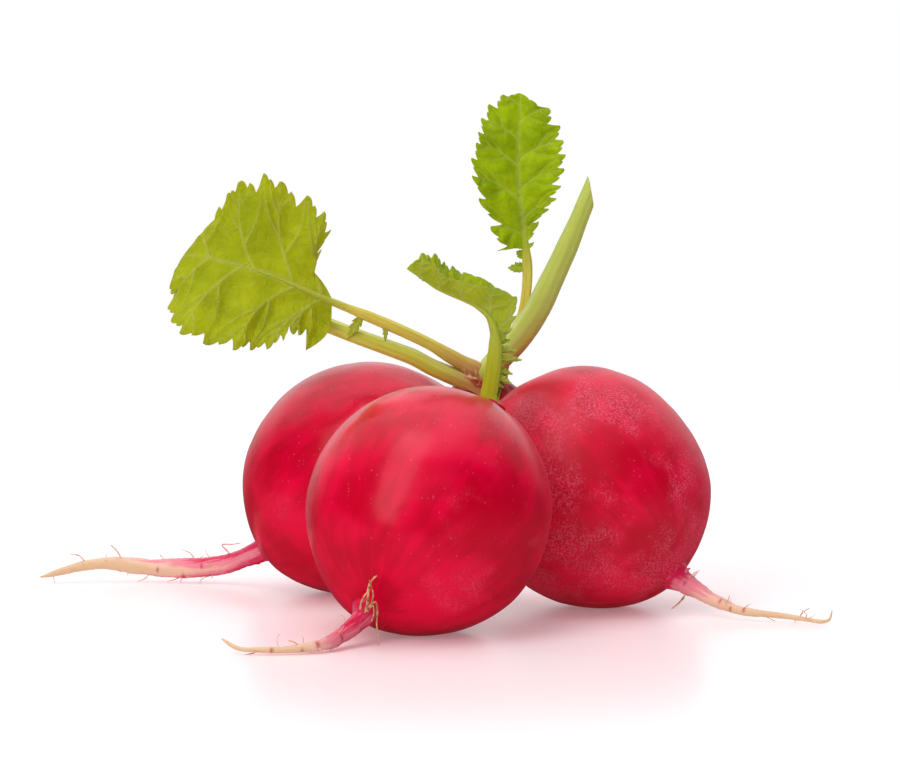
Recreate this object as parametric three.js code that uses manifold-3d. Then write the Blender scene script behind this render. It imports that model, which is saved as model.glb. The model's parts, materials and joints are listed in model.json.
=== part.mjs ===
// A small bunch of three round red radishes. It lies on its globes, with the tap roots trailing
// out along the surface and the crowns drawn together at the top, where short young leaves and
// two trimmed leaf stalks rise. Each radish grew as one piece with its root. Each leaf is one
// piece of stalk, rib, blade and leaflets.
//
// Lengths are millimetres. +X runs along the row of globes, +Y goes to the back, +Z is up, and
// the surface that the bunch lies on is z = 0.

import * as THREE from 'three';
import { mergeVertices } from 'three/addons/utils/BufferGeometryUtils.js';
import Module from 'manifold-3d';

const wasm = await Module();
wasm.setup();

// Driving dimensions

const GLOBE_SIDES = 28;
const STALK_SIDES = 10;
const CLEARANCE = 0.3;
const BLADE_THICKNESS = 0.62;
const RIB_SHORT_OF_TIP = 0.9;
const MERGE_DISTANCE = 1e-4;
const SHORTEST_EDGE = 0.01;

// Each globe is a little longer from crown to root than it is wide. "root" is where the middle of
// the root runs, from the end of the globe to its tip, and "rootRadii" how thick it is there, as
// pairs of the length run from the globe's end and the radius. "flare" is how widely the globe
// runs into its root and its neck.
const RADISHES = {
  radish_left: {
    centre: [-13.3, 18.3, 17.35],
    toCrown: [0.754, -0.3, 0.582],
    halfLength: 18.5,
    halfWidth: 17.15,
    crown: [4.4, 9.0, 32.2],
    neckRadius: 2.7,
    root: [
      [-30.6, 26.0, 4.8], [-33.3, 28.0, 3.5], [-37.1, 29.0, 2.6], [-40.9, 29.5, 2.3],
      [-44.7, 30.0, 2.3], [-48.5, 30.3, 2.5], [-52.2, 30.5, 2.9], [-56.0, 30.3, 2.7],
      [-59.6, 29.5, 1.9], [-63.3, 28.5, 1.0],
    ],
    rootRadii: [[0, 2.1], [2.5, 1.7], [6, 1.45], [16, 1.5], [24, 1.2], [31, 0.85], [39, 0.5]],
    flare: 1.8,
  },
  radish_front: {
    centre: [-2.95, -20.6, 17.0],
    toCrown: [0.475, 0.547, 0.69],
    halfLength: 17.7,
    halfWidth: 17.0,
    crown: [6.5, -9.4, 31.1],
    neckRadius: 2.6,
    root: [
      [-12.0, -32.5, 3.7], [-14.8, -36.5, 1.8], [-17.0, -39.5, 1.1], [-19.3, -40.8, 0.9],
      [-22.5, -41.5, 0.7], [-25.7, -41.5, 0.7], [-28.4, -41.0, 0.8], [-30.8, -40.0, 2.0],
    ],
    rootRadii: [[0, 1.9], [2, 1.6], [4.5, 1.3], [9, 1.1], [13, 0.95], [18, 0.65], [24, 0.42], [29, 0.3]],
    flare: 1.8,
  },
  radish_right: {
    centre: [20.5, 5.2, 17.45],
    toCrown: [-0.653, 0.393, 0.648],
    halfLength: 18.35,
    halfWidth: 17.05,
    crown: [7.4, 13.6, 31.6],
    neckRadius: 2.4,
    root: [
      [34.4, -3.3, 4.3], [36.2, -4.9, 3.4], [37.9, -6.5, 2.5], [39.8, -8.2, 1.8],
      [42.1, -10.0, 1.3], [45.2, -11.2, 1.1], [48.1, -12.2, 0.9], [50.6, -13.8, 0.7],
      [52.8, -15.2, 0.6], [53.7, -15.3, 0.9], [54.2, -15.0, 2.3],
    ],
    rootRadii: [[0, 2.3], [2.4, 1.6], [5, 1.15], [9, 0.9], [13, 0.72], [18, 0.52], [24, 0.42], [29, 0.3]],
    flare: 2.8,
  },
};

// A leaf's middle line runs from inside the crown up its stalk and along the rib to the tip.
// "facing" is the side that was uppermost in the bud. Each tooth of the edge is given by its tip:
// how far along the rib from the foot of the blade, and how far out from it, on the left and on
// the right as that upper side is looked at with the tip upwards. "feet" is where the side vein
// of each tooth leaves the rib.
const LEAVES = {
  leaf_left: {
    line: [
      [4.7, 9.3, 32.0], [4.0, 9.1, 34.2], [2.5, 8.5, 35.2], [-0.3, 7.6, 36.9], [-2.9, 6.8, 38.5],
      [-7.3, 5.5, 40.7], [-12.0, 4.2, 42.8], [-17.2, 2.6, 45.0], [-21.8, 1.6, 47.1],
      [-26.2, 1.2, 49.0], [-30.5, 1.2, 50.3], [-34.9, 1.6, 51.4], [-39.3, 2.4, 52.3],
      [-43.0, 3.2, 53.0],
    ],
    facing: [0.05, 1, -0.25],
    stalk: [[0, 1.5], [3, 1.4], [6, 1.1], [11, 0.85], [17, 0.85], [23, 0.95], [30, 0.6], [48, 0.3]],
    bladeFrom: 7,
    left: [
      [4.2, 2.9], [4.6, 6.4], [4.5, 9.6], [6.6, 11.5], [9.2, 12.8], [12.3, 13.3], [14.6, 13.8],
      [17.6, 11.6], [19.0, 9.6], [22.4, 7.4], [24.6, 4.0],
    ],
    right: [
      [1.2, 8.4], [4.3, 9.2], [5.4, 10.8], [7.9, 12.0], [11.8, 13.1], [16.2, 13.3], [19.9, 12.6],
      [21.9, 10.7], [23.2, 8.6], [24.2, 5.6], [25.6, 2.8],
    ],
    feet: [2.6, 6.4, 7.6, 8.8, 10.2, 12, 14, 16.5, 19, 21.5, 24],
    reach: 26.6,
    notch: 0.3,
    firstNotch: 0.62,
    fold: [-0.1, -0.1],
    curl: -0.012,
    wave: 0.5,
    roll: { from: 15.6, angle: 0.47, radius: 3.9, freeFrom: 6, freeing: 0.75 },
    leaflets: [
      { at: 22.0, turn: 0.1, length: 4.4, width: 1.4, lean: 0.15 },
      { at: 18.3, turn: -0.1, length: 2.6, width: 0.7, lean: -0.4 },
    ],
  },
  leaf_upright: {
    line: [
      [8.2, 14.0, 30.6], [7.6, 14.1, 33.0], [8.3, 14.0, 36.0], [9.7, 13.7, 39.5], [11.0, 13.3, 43.6],
      [11.5, 12.8, 48.2], [11.3, 12.3, 52.2], [10.8, 12.0, 56.6], [10.2, 11.8, 61.1],
      [10.1, 11.9, 65.5], [10.2, 12.3, 69.9], [10.4, 13.0, 75.2],
    ],
    facing: [0.1, -1, 0],
    stalk: [[0, 1.35], [3, 1.0], [6, 0.8], [14, 0.72], [20, 0.75], [24, 0.65], [46, 0.3]],
    bladeFrom: 6,
    left: [
      [0.4, 4.7], [4.3, 5.2], [8.5, 6.5], [11.2, 7.5], [13.6, 7.5], [15.6, 6.7], [17.1, 6.5],
      [19.2, 6.0], [21.3, 4.8], [22.9, 2.6],
    ],
    right: [
      [1.0, 1.3], [4.0, 2.3], [5.6, 4.1], [7.0, 5.4], [9.2, 6.3], [12.1, 6.9], [14.2, 7.0],
      [16.4, 6.6], [18.6, 6.1], [21.2, 4.2],
    ],
    feet: [0.6, 3.0, 5.5, 7.5, 9, 11, 13, 15.5, 18, 21],
    reach: 23.3,
    notch: 0.3,
    firstNotch: 0.25,
    fold: [0.16, 0.16],
    curl: 0.02,
    wave: 0.35,
    leaflets: [
      { at: 19.6, turn: 3.3, length: 2.8, width: 0.9, lean: 0.1 },
      { at: 21.0, turn: 0.4, length: 1.8, width: 0.8, lean: 0.5 },
    ],
  },
  leaf_front: {
    line: [
      [6.1, -9.7, 29.6], [5.6, -9.5, 31.9], [5.9, -9.6, 34.0], [6.3, -9.8, 36.7], [6.5, -10.0, 39.5],
      [6.3, -10.2, 42.1], [5.2, -10.4, 44.2], [3.0, -10.8, 45.7], [0.7, -11.4, 47.0],
      [-1.8, -12.2, 48.4], [-3.6, -12.9, 49.6], [-5.2, -13.5, 50.7],
    ],
    facing: [0.7, 0.1, 0.7],
    stalk: [[0, 1.5], [4, 1.25], [9, 1.15], [12, 1.1], [15, 0.8], [30, 0.35]],
    bladeFrom: 4,
    left: [
      [1.6, 1.6], [3.2, 3.6], [4.6, 5.4], [6.2, 5.3], [8.2, 3.6], [10.2, 3.1], [12.2, 3.1],
      [14.0, 2.9], [16.0, 2.2], [17.6, 1.4],
    ],
    right: [
      [1.4, 1.5], [3.0, 3.0], [4.6, 4.1], [6.2, 4.4], [8.0, 4.1], [9.8, 4.0], [11.8, 4.4],
      [13.8, 4.2], [15.8, 3.0], [17.6, 1.5],
    ],
    feet: [1.0, 2.6, 4.0, 5.4, 7.4, 9.4, 11.4, 13.2, 15.2, 17.0],
    reach: 18.8,
    notch: 0.3,
    firstNotch: 0.3,
    fold: [1.05, 0.9],
    curl: 0.02,
    wave: 0.3,
    leaflets: [
      { at: 9.3, turn: 1.9, length: 2.0, width: 0.9, lean: 0.5 },
      { at: 7.6, turn: 1.7, length: 2.2, width: 1.0, lean: 0.2 },
      { at: 5.9, turn: 1.9, length: 1.7, width: 0.8, lean: 0.3 },
    ],
  },
};

// The youngest leaf has hardly opened. It is a narrow strip, still folded along its rib.
const BUDS = {
  young_leaf: {
    line: [[6.8, -7.9, 30.2], [6.6, -7.8, 31.8], [7.2, -7.6, 33.6], [8.2, -7.3, 35.8]],
    facing: [-0.5, -0.8, 0.1],
    stalk: [[0, 0.6], [1.6, 0.5], [3.2, 0.8], [4.6, 0.65], [6, 0.2]],
  },
};

// A trimmed stalk has lost its blade. "cut" is a place on the knife's plane and the way that the
// plane faces.
const STALKS = {
  stalk_left: {
    line: [
      [4.6, 9.2, 31.6], [3.2, 8.7, 32.6], [1.4, 8.1, 33.4], [-0.6, 7.4, 34.3], [-2.8, 6.9, 35.3],
      [-5.3, 6.3, 36.7], [-7.8, 5.9, 37.7], [-13.2, 5.3, 39.7], [-19.6, 4.8, 42.2],
    ],
    facing: [0.3, -0.2, 0.9],
    stalk: [[0, 1.5], [4, 1.4], [10, 1.3], [20, 1.2], [28, 1.15]],
    cut: { at: [-18.6, 4.8, 41.8], out: [-0.9, 0, 0.3] },
  },
  stalk_right: {
    line: [
      [4.7, 9.2, 31.6], [5.6, 8.9, 34.4], [7.4, 8.6, 36.6], [9.2, 8.2, 38.6], [11.0, 7.6, 40.9],
      [12.8, 7.0, 43.8], [14.5, 6.5, 47.4], [16.1, 6.0, 50.8], [17.6, 5.5, 54.2], [19.0, 5.0, 57.6],
      [20.4, 4.6, 61.2], [21.9, 4.3, 65.2],
    ],
    facing: [-0.8, -0.2, 0.5],
    stalk: [[0, 1.6], [4, 1.9], [9, 2.05], [16, 1.95], [24, 1.75], [36, 1.4]],
    cut: { at: [20.7, 4.7, 61.2], out: [0.92, 0, 0.17] },
  },
};

const COLOURS = {
  redSkin: { color: 0xcf0f33, roughness: 0.3, metalness: 0 },
  dullRedSkin: { color: 0xbd2344, roughness: 0.42, metalness: 0 },
  leafGreen: { color: 0xa3ba1e, roughness: 0.5, metalness: 0 },
  youngLeafGreen: { color: 0x6f8f1c, roughness: 0.5, metalness: 0 },
  stalkGreen: { color: 0xb9c65a, roughness: 0.4, metalness: 0 },
};

// Lines and the frames across them

const vector = (place) => new THREE.Vector3(...place);

// A smooth line through places set by hand, measured by the length run from its first place.
// Beyond its ends it runs on straight.
class Spine {
  static STEPS = 20;
  static LOOK = 0.35;

  constructor(places, facing) {
    const curve = new THREE.CatmullRomCurve3(places.map(vector), false, 'centripetal');
    this.samples = curve.getPoints((places.length - 1) * Spine.STEPS);
    this.facing = vector(facing);
    this.run = [0];
    for (let i = 1; i < this.samples.length; i += 1) {
      this.run.push(this.run[i - 1] + this.samples[i].distanceTo(this.samples[i - 1]));
    }
    this.length = this.run[this.run.length - 1];
  }

  // The length run to one of the places that the line was set by.
  runTo(place) {
    return this.run[place * Spine.STEPS];
  }

  place(s) {
    let i = 0;
    while (i < this.run.length - 2 && this.run[i + 1] < s) {
      i += 1;
    }
    const share = (s - this.run[i]) / (this.run[i + 1] - this.run[i]);
    return new THREE.Vector3().lerpVectors(this.samples[i], this.samples[i + 1], share);
  }

  // Where the line is at s, the way it runs, and the two directions across it.
  frame(s) {
    const place = this.place(s);
    const along = this.place(s + Spine.LOOK).sub(this.place(s - Spine.LOOK)).normalize();
    const side = along.clone().cross(this.facing).normalize();
    const face = side.clone().cross(along);
    return { place, along, side, face };
  }

  // The place that lies out from the line by the two given distances.
  out(s, sideways, facewards) {
    const { place, side, face } = this.frame(s);
    return place.addScaledVector(side, sideways).addScaledVector(face, facewards);
  }
}

// A value that runs smoothly from one [position, value] pair to the next.
function along(pairs, s) {
  let i = 0;
  while (i < pairs.length - 2 && pairs[i + 1][0] < s) {
    i += 1;
  }
  const [from, a] = pairs[i];
  const [to, b] = pairs[i + 1];
  const share = THREE.MathUtils.clamp((s - from) / (to - from), 0, 1);
  return THREE.MathUtils.lerp(a, b, share * share * (3 - 2 * share));
}

// Solids

// A solid from a closed geometry, with the doubled corners at its seams and poles merged.
function solidOf(geometry) {
  geometry.deleteAttribute('normal');
  geometry.deleteAttribute('uv');
  const merged = mergeVertices(geometry, MERGE_DISTANCE);
  const { array } = merged.index;
  const corners = [];
  for (let i = 0; i < array.length; i += 3) {
    const [a, b, c] = array.slice(i, i + 3);
    if (a !== b && b !== c && c !== a) {
      corners.push(a, b, c);
    }
  }
  const vertProperties = merged.attributes.position.array;
  return new wasm.Manifold(new wasm.Mesh({ numProp: 3, vertProperties, triVerts: new Uint32Array(corners) }));
}

// A box that reaches far out on the "out" side of a plane, for cutting with.
function halfSpace(at, out) {
  const reach = 150;
  const box = new THREE.BoxGeometry(reach, reach, reach);
  box.translate(0, 0, reach / 2);
  box.applyQuaternion(new THREE.Quaternion().setFromUnitVectors(vector([0, 0, 1]), vector(out).normalize()));
  box.translate(...at);
  return solidOf(box);
}

// A round body turned on a lathe from [s, radius] pairs, then bent to follow a spine. The shape
// function gives the share of the radius left in each direction round the spine.
function bentLathe(spine, profile, sides, shape = () => 1) {
  const outline = profile.map(([s, radius]) => new THREE.Vector2(radius, s));
  const lathe = new THREE.LatheGeometry(outline, sides);
  const corners = lathe.attributes.position;
  for (let i = 0; i < corners.count; i += 1) {
    const [x, s, z] = [corners.getX(i), corners.getY(i), corners.getZ(i)];
    const left = shape(Math.atan2(x, z));
    const bent = spine.out(s, x * left, z * left);
    corners.setXYZ(i, bent.x, bent.y, bent.z);
  }
  return solidOf(lathe);
}

// Radishes

// The larger of two values, with the corner between them rounded over the given width.
function smoothMax(a, b, width) {
  return (a + b + Math.hypot(a - b, width)) / 2;
}

// The radius of a radish at each length along its spine: the rounded crown and its neck, the
// globe, and the root.
function radishProfile(spec, spine, grow) {
  const crownTop = -grow;
  const middle = spine.runTo(3);
  const end = spine.length + grow;
  const rootFrom = middle + spec.halfLength;
  const crownHeight = 1.4;
  const radiusAt = (s) => {
    const share = (s - middle) / spec.halfLength;
    const globe = Math.abs(share) < 1 ? spec.halfWidth * Math.sqrt(1 - share * share) : 0;
    const root = along(spec.rootRadii, s - rootFrom);
    const dome = Math.min(1, (s - crownTop) / crownHeight);
    const neck = s < middle ? spec.neckRadius * Math.sqrt(dome * (2 - dome)) : root;
    const beyond = Math.max(0, Math.abs(s - middle) - spec.halfLength);
    return smoothMax(globe, neck, spec.flare * Math.exp(-beyond / 1.5) * Math.min(1, neck)) + grow;
  };

  const stations = [0.25, 0.7, 1.4, 2.6];
  const neckEnd = middle - spec.halfLength;
  for (let s = 4.2; s < neckEnd - 0.5; s += 1.8) {
    stations.push(s);
  }
  const rings = 18;
  for (let i = 1; i < rings; i += 1) {
    stations.push(middle - spec.halfLength * Math.cos((Math.PI * i) / rings));
  }
  const rootSteps = 17;
  for (let i = 0; i <= rootSteps; i += 1) {
    stations.push(THREE.MathUtils.lerp(rootFrom + 0.1, end - 0.4, (i / rootSteps) ** 1.15));
  }
  return [[crownTop, 0], ...stations.map((s) => [s, radiusAt(s)]), [end, 0]];
}

// One radish with its root. It is grown by a distance to make room for what stands beside it.
function radish(spec, grow = 0) {
  const centre = vector(spec.centre);
  const toCrown = vector(spec.toCrown).normalize();
  const onAxis = (share) => centre.clone().addScaledVector(toCrown, share * spec.halfLength).toArray();
  const places = [spec.crown, onAxis(1), onAxis(0.5), onAxis(0), onAxis(-0.5), onAxis(-1), ...spec.root];
  const spine = new Spine(places, [0, 0, 1]);
  return bentLathe(spine, radishProfile(spec, spine, grow), GLOBE_SIDES);
}

// Leaves

// A tapered body along a spine. The shape function is that of a bent lathe.
function taper(spine, widths, shape, grow) {
  const steps = Math.round(spine.length / 2.2);
  const profile = [[0, 0]];
  for (let i = 0; i <= steps; i += 1) {
    const s = (spine.length * i) / steps;
    profile.push([s, along(widths, s) + grow]);
  }
  profile.push([spine.length, 0]);
  return bentLathe(spine, profile, STALK_SIDES, shape);
}

// A leaf stalk: rounded below and grooved along the side that faced inwards in the bud.
function stalk(spine, widths, grow = 0) {
  const groove = (angle) => 1 - 0.3 * Math.exp(-((angle / 0.55) ** 2));
  return taper(spine, widths, groove, grow);
}

// The edge of one half of a blade, as rows of { foot, s, w }: from the foot of the blade round the
// teeth to the tip. Each tooth has a notch before it, a full shoulder and its tip.
function bladeEdge(leaf, tips) {
  const end = [leaf.reach, 0];
  const rows = [{ foot: 0, s: 0, w: 0 }];
  let before = [0, 0.2];
  let footBefore = 0;
  [...tips, end].forEach((tip, i) => {
    const foot = i < tips.length ? leaf.feet[i] : leaf.reach;
    const chord = [tip[0] - before[0], tip[1] - before[1]];
    const inward = [chord[1], -chord[0]];
    const depth = i === 1 ? leaf.firstNotch : leaf.notch;
    const from = (share, push) => [0, 1].map((k) => before[k] + share * chord[k] + push * inward[k]);
    const footAt = (share) => THREE.MathUtils.lerp(footBefore, foot, share);
    if (i > 0) {
      const [s, w] = from(0.35, depth);
      rows.push({ foot: footAt(0.35), s, w: Math.max(w, 0.3) });
    }
    const [s, w] = from(0.7, i > 0 ? 0.02 : -0.1);
    rows.push({ foot: footAt(0.7), s, w });
    rows.push({ foot, s: tip[0], w: tip[1] });
    before = tip;
    footBefore = foot;
  });
  return rows;
}

// The place on the middle surface of a blade for a point given on the leaf pressed flat: how far
// along the rib from the foot of the blade, and how far to the side of it.
function onBlade(leaf, spine, start, s, w) {
  const out = Math.abs(w);
  const side = Math.sign(w);
  let [run, across, lift] = [s, w, leaf.wave * Math.sin(s * 0.9 + side) * Math.min(1, out / 6) ** 2];
  if (leaf.roll) {
    const { from, angle, radius, freeFrom, freeing } = leaf.roll;
    const free = freeing * Math.max(0, -w - freeFrom);
    const beyond = s * Math.cos(angle) - w * Math.sin(angle) - from - free;
    if (beyond > 0) {
      const turn = beyond / radius;
      const shift = radius * Math.sin(turn) - beyond;
      run += shift * Math.cos(angle);
      across -= shift * Math.sin(angle);
      lift += radius * (1 - Math.cos(turn));
    }
  }
  const bend = leaf.fold[w < 0 ? 0 : 1] + leaf.curl * out;
  const sideways = across * Math.cos(bend);
  const facewards = out * Math.sin(bend) + lift;
  return spine.out(start + run, sideways, facewards);
}

// A leaf's blade as one thin solid: strips from the rib out to the edge on both sides, laid out
// and split into triangles alike on the upper and the lower face. "across" is the number of
// strips in each half.
function blade(leaf, spine, start, across) {
  const halves = [bladeEdge(leaf, leaf.left), bladeEdge(leaf, leaf.right)];
  const rows = halves[0].length;
  const columns = 2 * across + 1;
  const middle = [];
  for (let j = 0; j < rows; j += 1) {
    for (let i = -across; i <= across; i += 1) {
      const { foot, s, w } = halves[i < 0 ? 0 : 1][j];
      const share = Math.abs(i) / across;
      const flatS = THREE.MathUtils.lerp(foot, s, share);
      const flatW = Math.sign(i) * w * share;
      middle.push([flatS, flatW]);
    }
  }

  const step = 0.25;
  const corners = [];
  for (const lift of [BLADE_THICKNESS / 2, -BLADE_THICKNESS / 2]) {
    for (const [s, w] of middle) {
      const here = onBlade(leaf, spine, start, s, w);
      const ahead = onBlade(leaf, spine, start, s + step, w).sub(here);
      const beside = onBlade(leaf, spine, start, s, w + step).sub(here);
      const normal = beside.cross(ahead).normalize();
      corners.push(...here.addScaledVector(normal, lift).toArray());
    }
  }

  const triangles = [];
  const lower = rows * columns;
  const split = (a, b, c) => {
    triangles.push(a, b, c);
    triangles.push(a + lower, c + lower, b + lower);
  };
  for (let j = 0; j < rows - 1; j += 1) {
    for (let i = 0; i < columns - 1; i += 1) {
      const a = j * columns + i;
      const [b, c, d] = [a + 1, a + columns + 1, a + columns];
      split(a, b, c);
      split(a, c, d);
    }
    const left = j * columns;
    const right = left + columns - 1;
    triangles.push(left, left + columns, left + lower, left + columns, left + columns + lower, left + lower);
    triangles.push(right, right + lower, right + columns, right + columns, right + lower, right + columns + lower);
  }

  const geometry = new THREE.BufferGeometry();
  geometry.setAttribute('position', new THREE.Float32BufferAttribute(corners, 3));
  geometry.setIndex(triangles);
  return solidOf(geometry);
}

// A leaflet: a small toothed blade on the side of a leaf stalk, rooted inside it. "turn" is its
// direction round the stalk and "lean" how far it tips towards the leaf's end.
function leaflet(spine, { at, turn, length, width, lean }) {
  const { place, along: ahead, side, face } = spine.frame(at);
  const out = side.multiplyScalar(Math.cos(turn)).addScaledVector(face, Math.sin(turn));
  out.addScaledVector(ahead, lean).normalize();
  const places = [0, 0.35, 0.7, 1].map((share) => {
    const droop = -0.25 * length * share * share;
    return place.clone().addScaledVector(out, length * share).addScaledVector(face, droop).toArray();
  });
  const tips = [[0.42, 0.8], [0.65, 1], [0.86, 0.6]].map(([s, w]) => [s * length, w * width]);
  const leaf = {
    left: tips,
    right: tips,
    feet: [0.3, 0.55, 0.8].map((share) => share * length),
    reach: length,
    notch: 0.25,
    firstNotch: 0.25,
    fold: [0.25, 0.25],
    curl: 0,
    wave: 0,
  };
  return blade(leaf, new Spine(places, ahead.toArray()), 0, 1);
}

// The middle line of a leaf with the bends of its blade, which its rib follows. The rib ends a
// little before the blade's tip, inside it.
function ribLine(leaf, spine, start) {
  const places = leaf.line.slice(0, leaf.bladeFrom + 1);
  const reach = leaf.reach - RIB_SHORT_OF_TIP;
  const steps = Math.ceil(reach / 2.5);
  for (let i = 1; i <= steps; i += 1) {
    places.push(onBlade(leaf, spine, start, (reach * i) / steps, 0).toArray());
  }
  return new Spine(places, leaf.facing);
}

function leafSolid(leaf) {
  const spine = new Spine(leaf.line, leaf.facing);
  const start = spine.runTo(leaf.bladeFrom);
  const rib = stalk(ribLine(leaf, spine, start), leaf.stalk);
  let solid = rib.add(blade(leaf, spine, start, 3));
  for (const spec of leaf.leaflets) {
    solid = solid.add(leaflet(spine, spec));
  }
  return solid;
}

// A leaf that is still folded: a flattened strip.
function budSolid(spec) {
  const flattened = (angle) => 1 - 0.45 * Math.cos(angle) ** 2;
  return taper(new Spine(spec.line, spec.facing), spec.stalk, flattened, 0);
}

function stalkSolid(spec) {
  const spine = new Spine(spec.line, spec.facing);
  return stalk(spine, spec.stalk).subtract(halfSpace(spec.cut.at, spec.cut.out));
}

// The bunch

function material(look) {
  return new THREE.MeshStandardMaterial(look);
}

// A mesh from the largest piece of a solid. A cut can leave a crumb of a tooth or a stalk loose.
function named(name, solid, look) {
  const pieces = solid.decompose();
  pieces.sort((a, b) => b.volume() - a.volume());
  const { vertProperties, triVerts } = pieces[0].simplify(SHORTEST_EDGE).getMesh();
  const geometry = new THREE.BufferGeometry();
  geometry.setAttribute('position', new THREE.BufferAttribute(vertProperties, 3));
  geometry.setIndex(new THREE.BufferAttribute(triVerts, 1));
  geometry.computeVertexNormals();
  const mesh = new THREE.Mesh(geometry, material(look));
  mesh.name = name;
  return mesh;
}

// Every radish is cut flat where it lies on the surface. What grows from a crown stops a little
// short of it, and of the stalks beside it.
const surface = halfSpace([0, 0, 0], [0, 0, -1]);
const skins = { radish_right: COLOURS.dullRedSkin };
const bunch = new THREE.Group();
const taken = [];
for (const [name, spec] of Object.entries(RADISHES)) {
  bunch.add(named(name, radish(spec).subtract(surface), skins[name] ?? COLOURS.redSkin));
  taken.push(radish(spec, CLEARANCE));
}

function addGrowing(name, spec, solid, look) {
  const trimmed = taken.reduce((left, other) => left.subtract(other), solid);
  bunch.add(named(name, trimmed, look));
  taken.push(stalk(new Spine(spec.line, spec.facing), spec.stalk, CLEARANCE));
}

for (const [name, spec] of Object.entries(STALKS)) {
  addGrowing(name, spec, stalkSolid(spec), COLOURS.stalkGreen);
}
for (const [name, spec] of Object.entries(LEAVES)) {
  addGrowing(name, spec, leafSolid(spec), COLOURS.leafGreen);
}
for (const [name, spec] of Object.entries(BUDS)) {
  addGrowing(name, spec, budSolid(spec), COLOURS.youngLeafGreen);
}

// The origin is the middle of the bunch's footprint, on the surface.
const box = new THREE.Box3().setFromObject(bunch);
const middle = box.getCenter(new THREE.Vector3());
bunch.position.set(-middle.x, -middle.y, -box.min.z);

export default bunch;
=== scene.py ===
# %% [markdown]
# # A small bunch of round red radishes
#
# Three crimson globes lie on a surface and their tap roots trail out along it. Their crowns lean
# together at the top, where three young leaves, a very small one and two trimmed stalks rise. The
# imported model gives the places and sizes. This lesson grows a finer piece over each of its parts:
# skins with rootlets, scars and dry bud scales, blades with veins and teeth, and ribbed stalks.
#
# Everything is laid out in millimetres round the middle of the bunch, and moved to the packed
# model's place, in metres, when a piece is made.

import json
import math

import bmesh
import bpy
import numpy as np
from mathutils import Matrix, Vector


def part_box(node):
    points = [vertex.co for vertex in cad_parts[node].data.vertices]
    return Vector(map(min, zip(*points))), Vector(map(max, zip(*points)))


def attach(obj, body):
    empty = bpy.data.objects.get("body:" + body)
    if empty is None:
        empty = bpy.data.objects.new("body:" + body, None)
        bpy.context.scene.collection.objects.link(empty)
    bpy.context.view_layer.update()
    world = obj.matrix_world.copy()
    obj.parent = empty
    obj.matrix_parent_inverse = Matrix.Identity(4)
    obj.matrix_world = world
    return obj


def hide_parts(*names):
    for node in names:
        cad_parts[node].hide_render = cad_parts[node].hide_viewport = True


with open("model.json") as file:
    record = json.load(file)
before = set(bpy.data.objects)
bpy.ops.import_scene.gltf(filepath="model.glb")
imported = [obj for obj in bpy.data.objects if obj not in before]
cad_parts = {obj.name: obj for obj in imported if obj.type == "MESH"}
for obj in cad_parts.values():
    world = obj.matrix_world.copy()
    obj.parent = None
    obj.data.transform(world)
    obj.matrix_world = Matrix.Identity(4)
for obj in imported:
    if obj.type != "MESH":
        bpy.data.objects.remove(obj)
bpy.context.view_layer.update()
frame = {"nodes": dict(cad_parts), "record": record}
print("packed parts:", sorted(frame["nodes"]))

# %% [markdown]
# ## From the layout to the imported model
#
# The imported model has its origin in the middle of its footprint. The layout has it under the
# place that the crowns lean to. The flat spot under the front globe is known in both, so the way
# from one to the other is the difference between the two.

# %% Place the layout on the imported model
MM = 0.001
FRONT_SPOT = np.array([-3.546, -21.659, 0.0])
rest_front = next(m for m in frame["record"]["mounts"] if m["name"] == "rest_front")
TO_PACKED = np.array(rest_front["pos_m"]) / MM - FRONT_SPOT


def packed(places):
    """Places of the layout, in millimetres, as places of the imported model, in metres."""
    return (np.asarray(places, float) + TO_PACKED) * MM


print("layout moved by, mm:", TO_PACKED.round(2))

# %% [markdown]
# ## Lines through given places
#
# Roots, stalks and ribs all follow a bent line. A line through a few given places could be a
# Bezier curve with handles, but a Catmull-Rom spline needs no handles: it passes through every
# place. Its centripetal form doesn't overshoot where two places are close together.

# %% A smooth line and the two directions across it
STEPS = 40
LOOK = 0.35


def unit(directions):
    return directions / np.linalg.norm(directions, axis=-1, keepdims=True)


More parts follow.
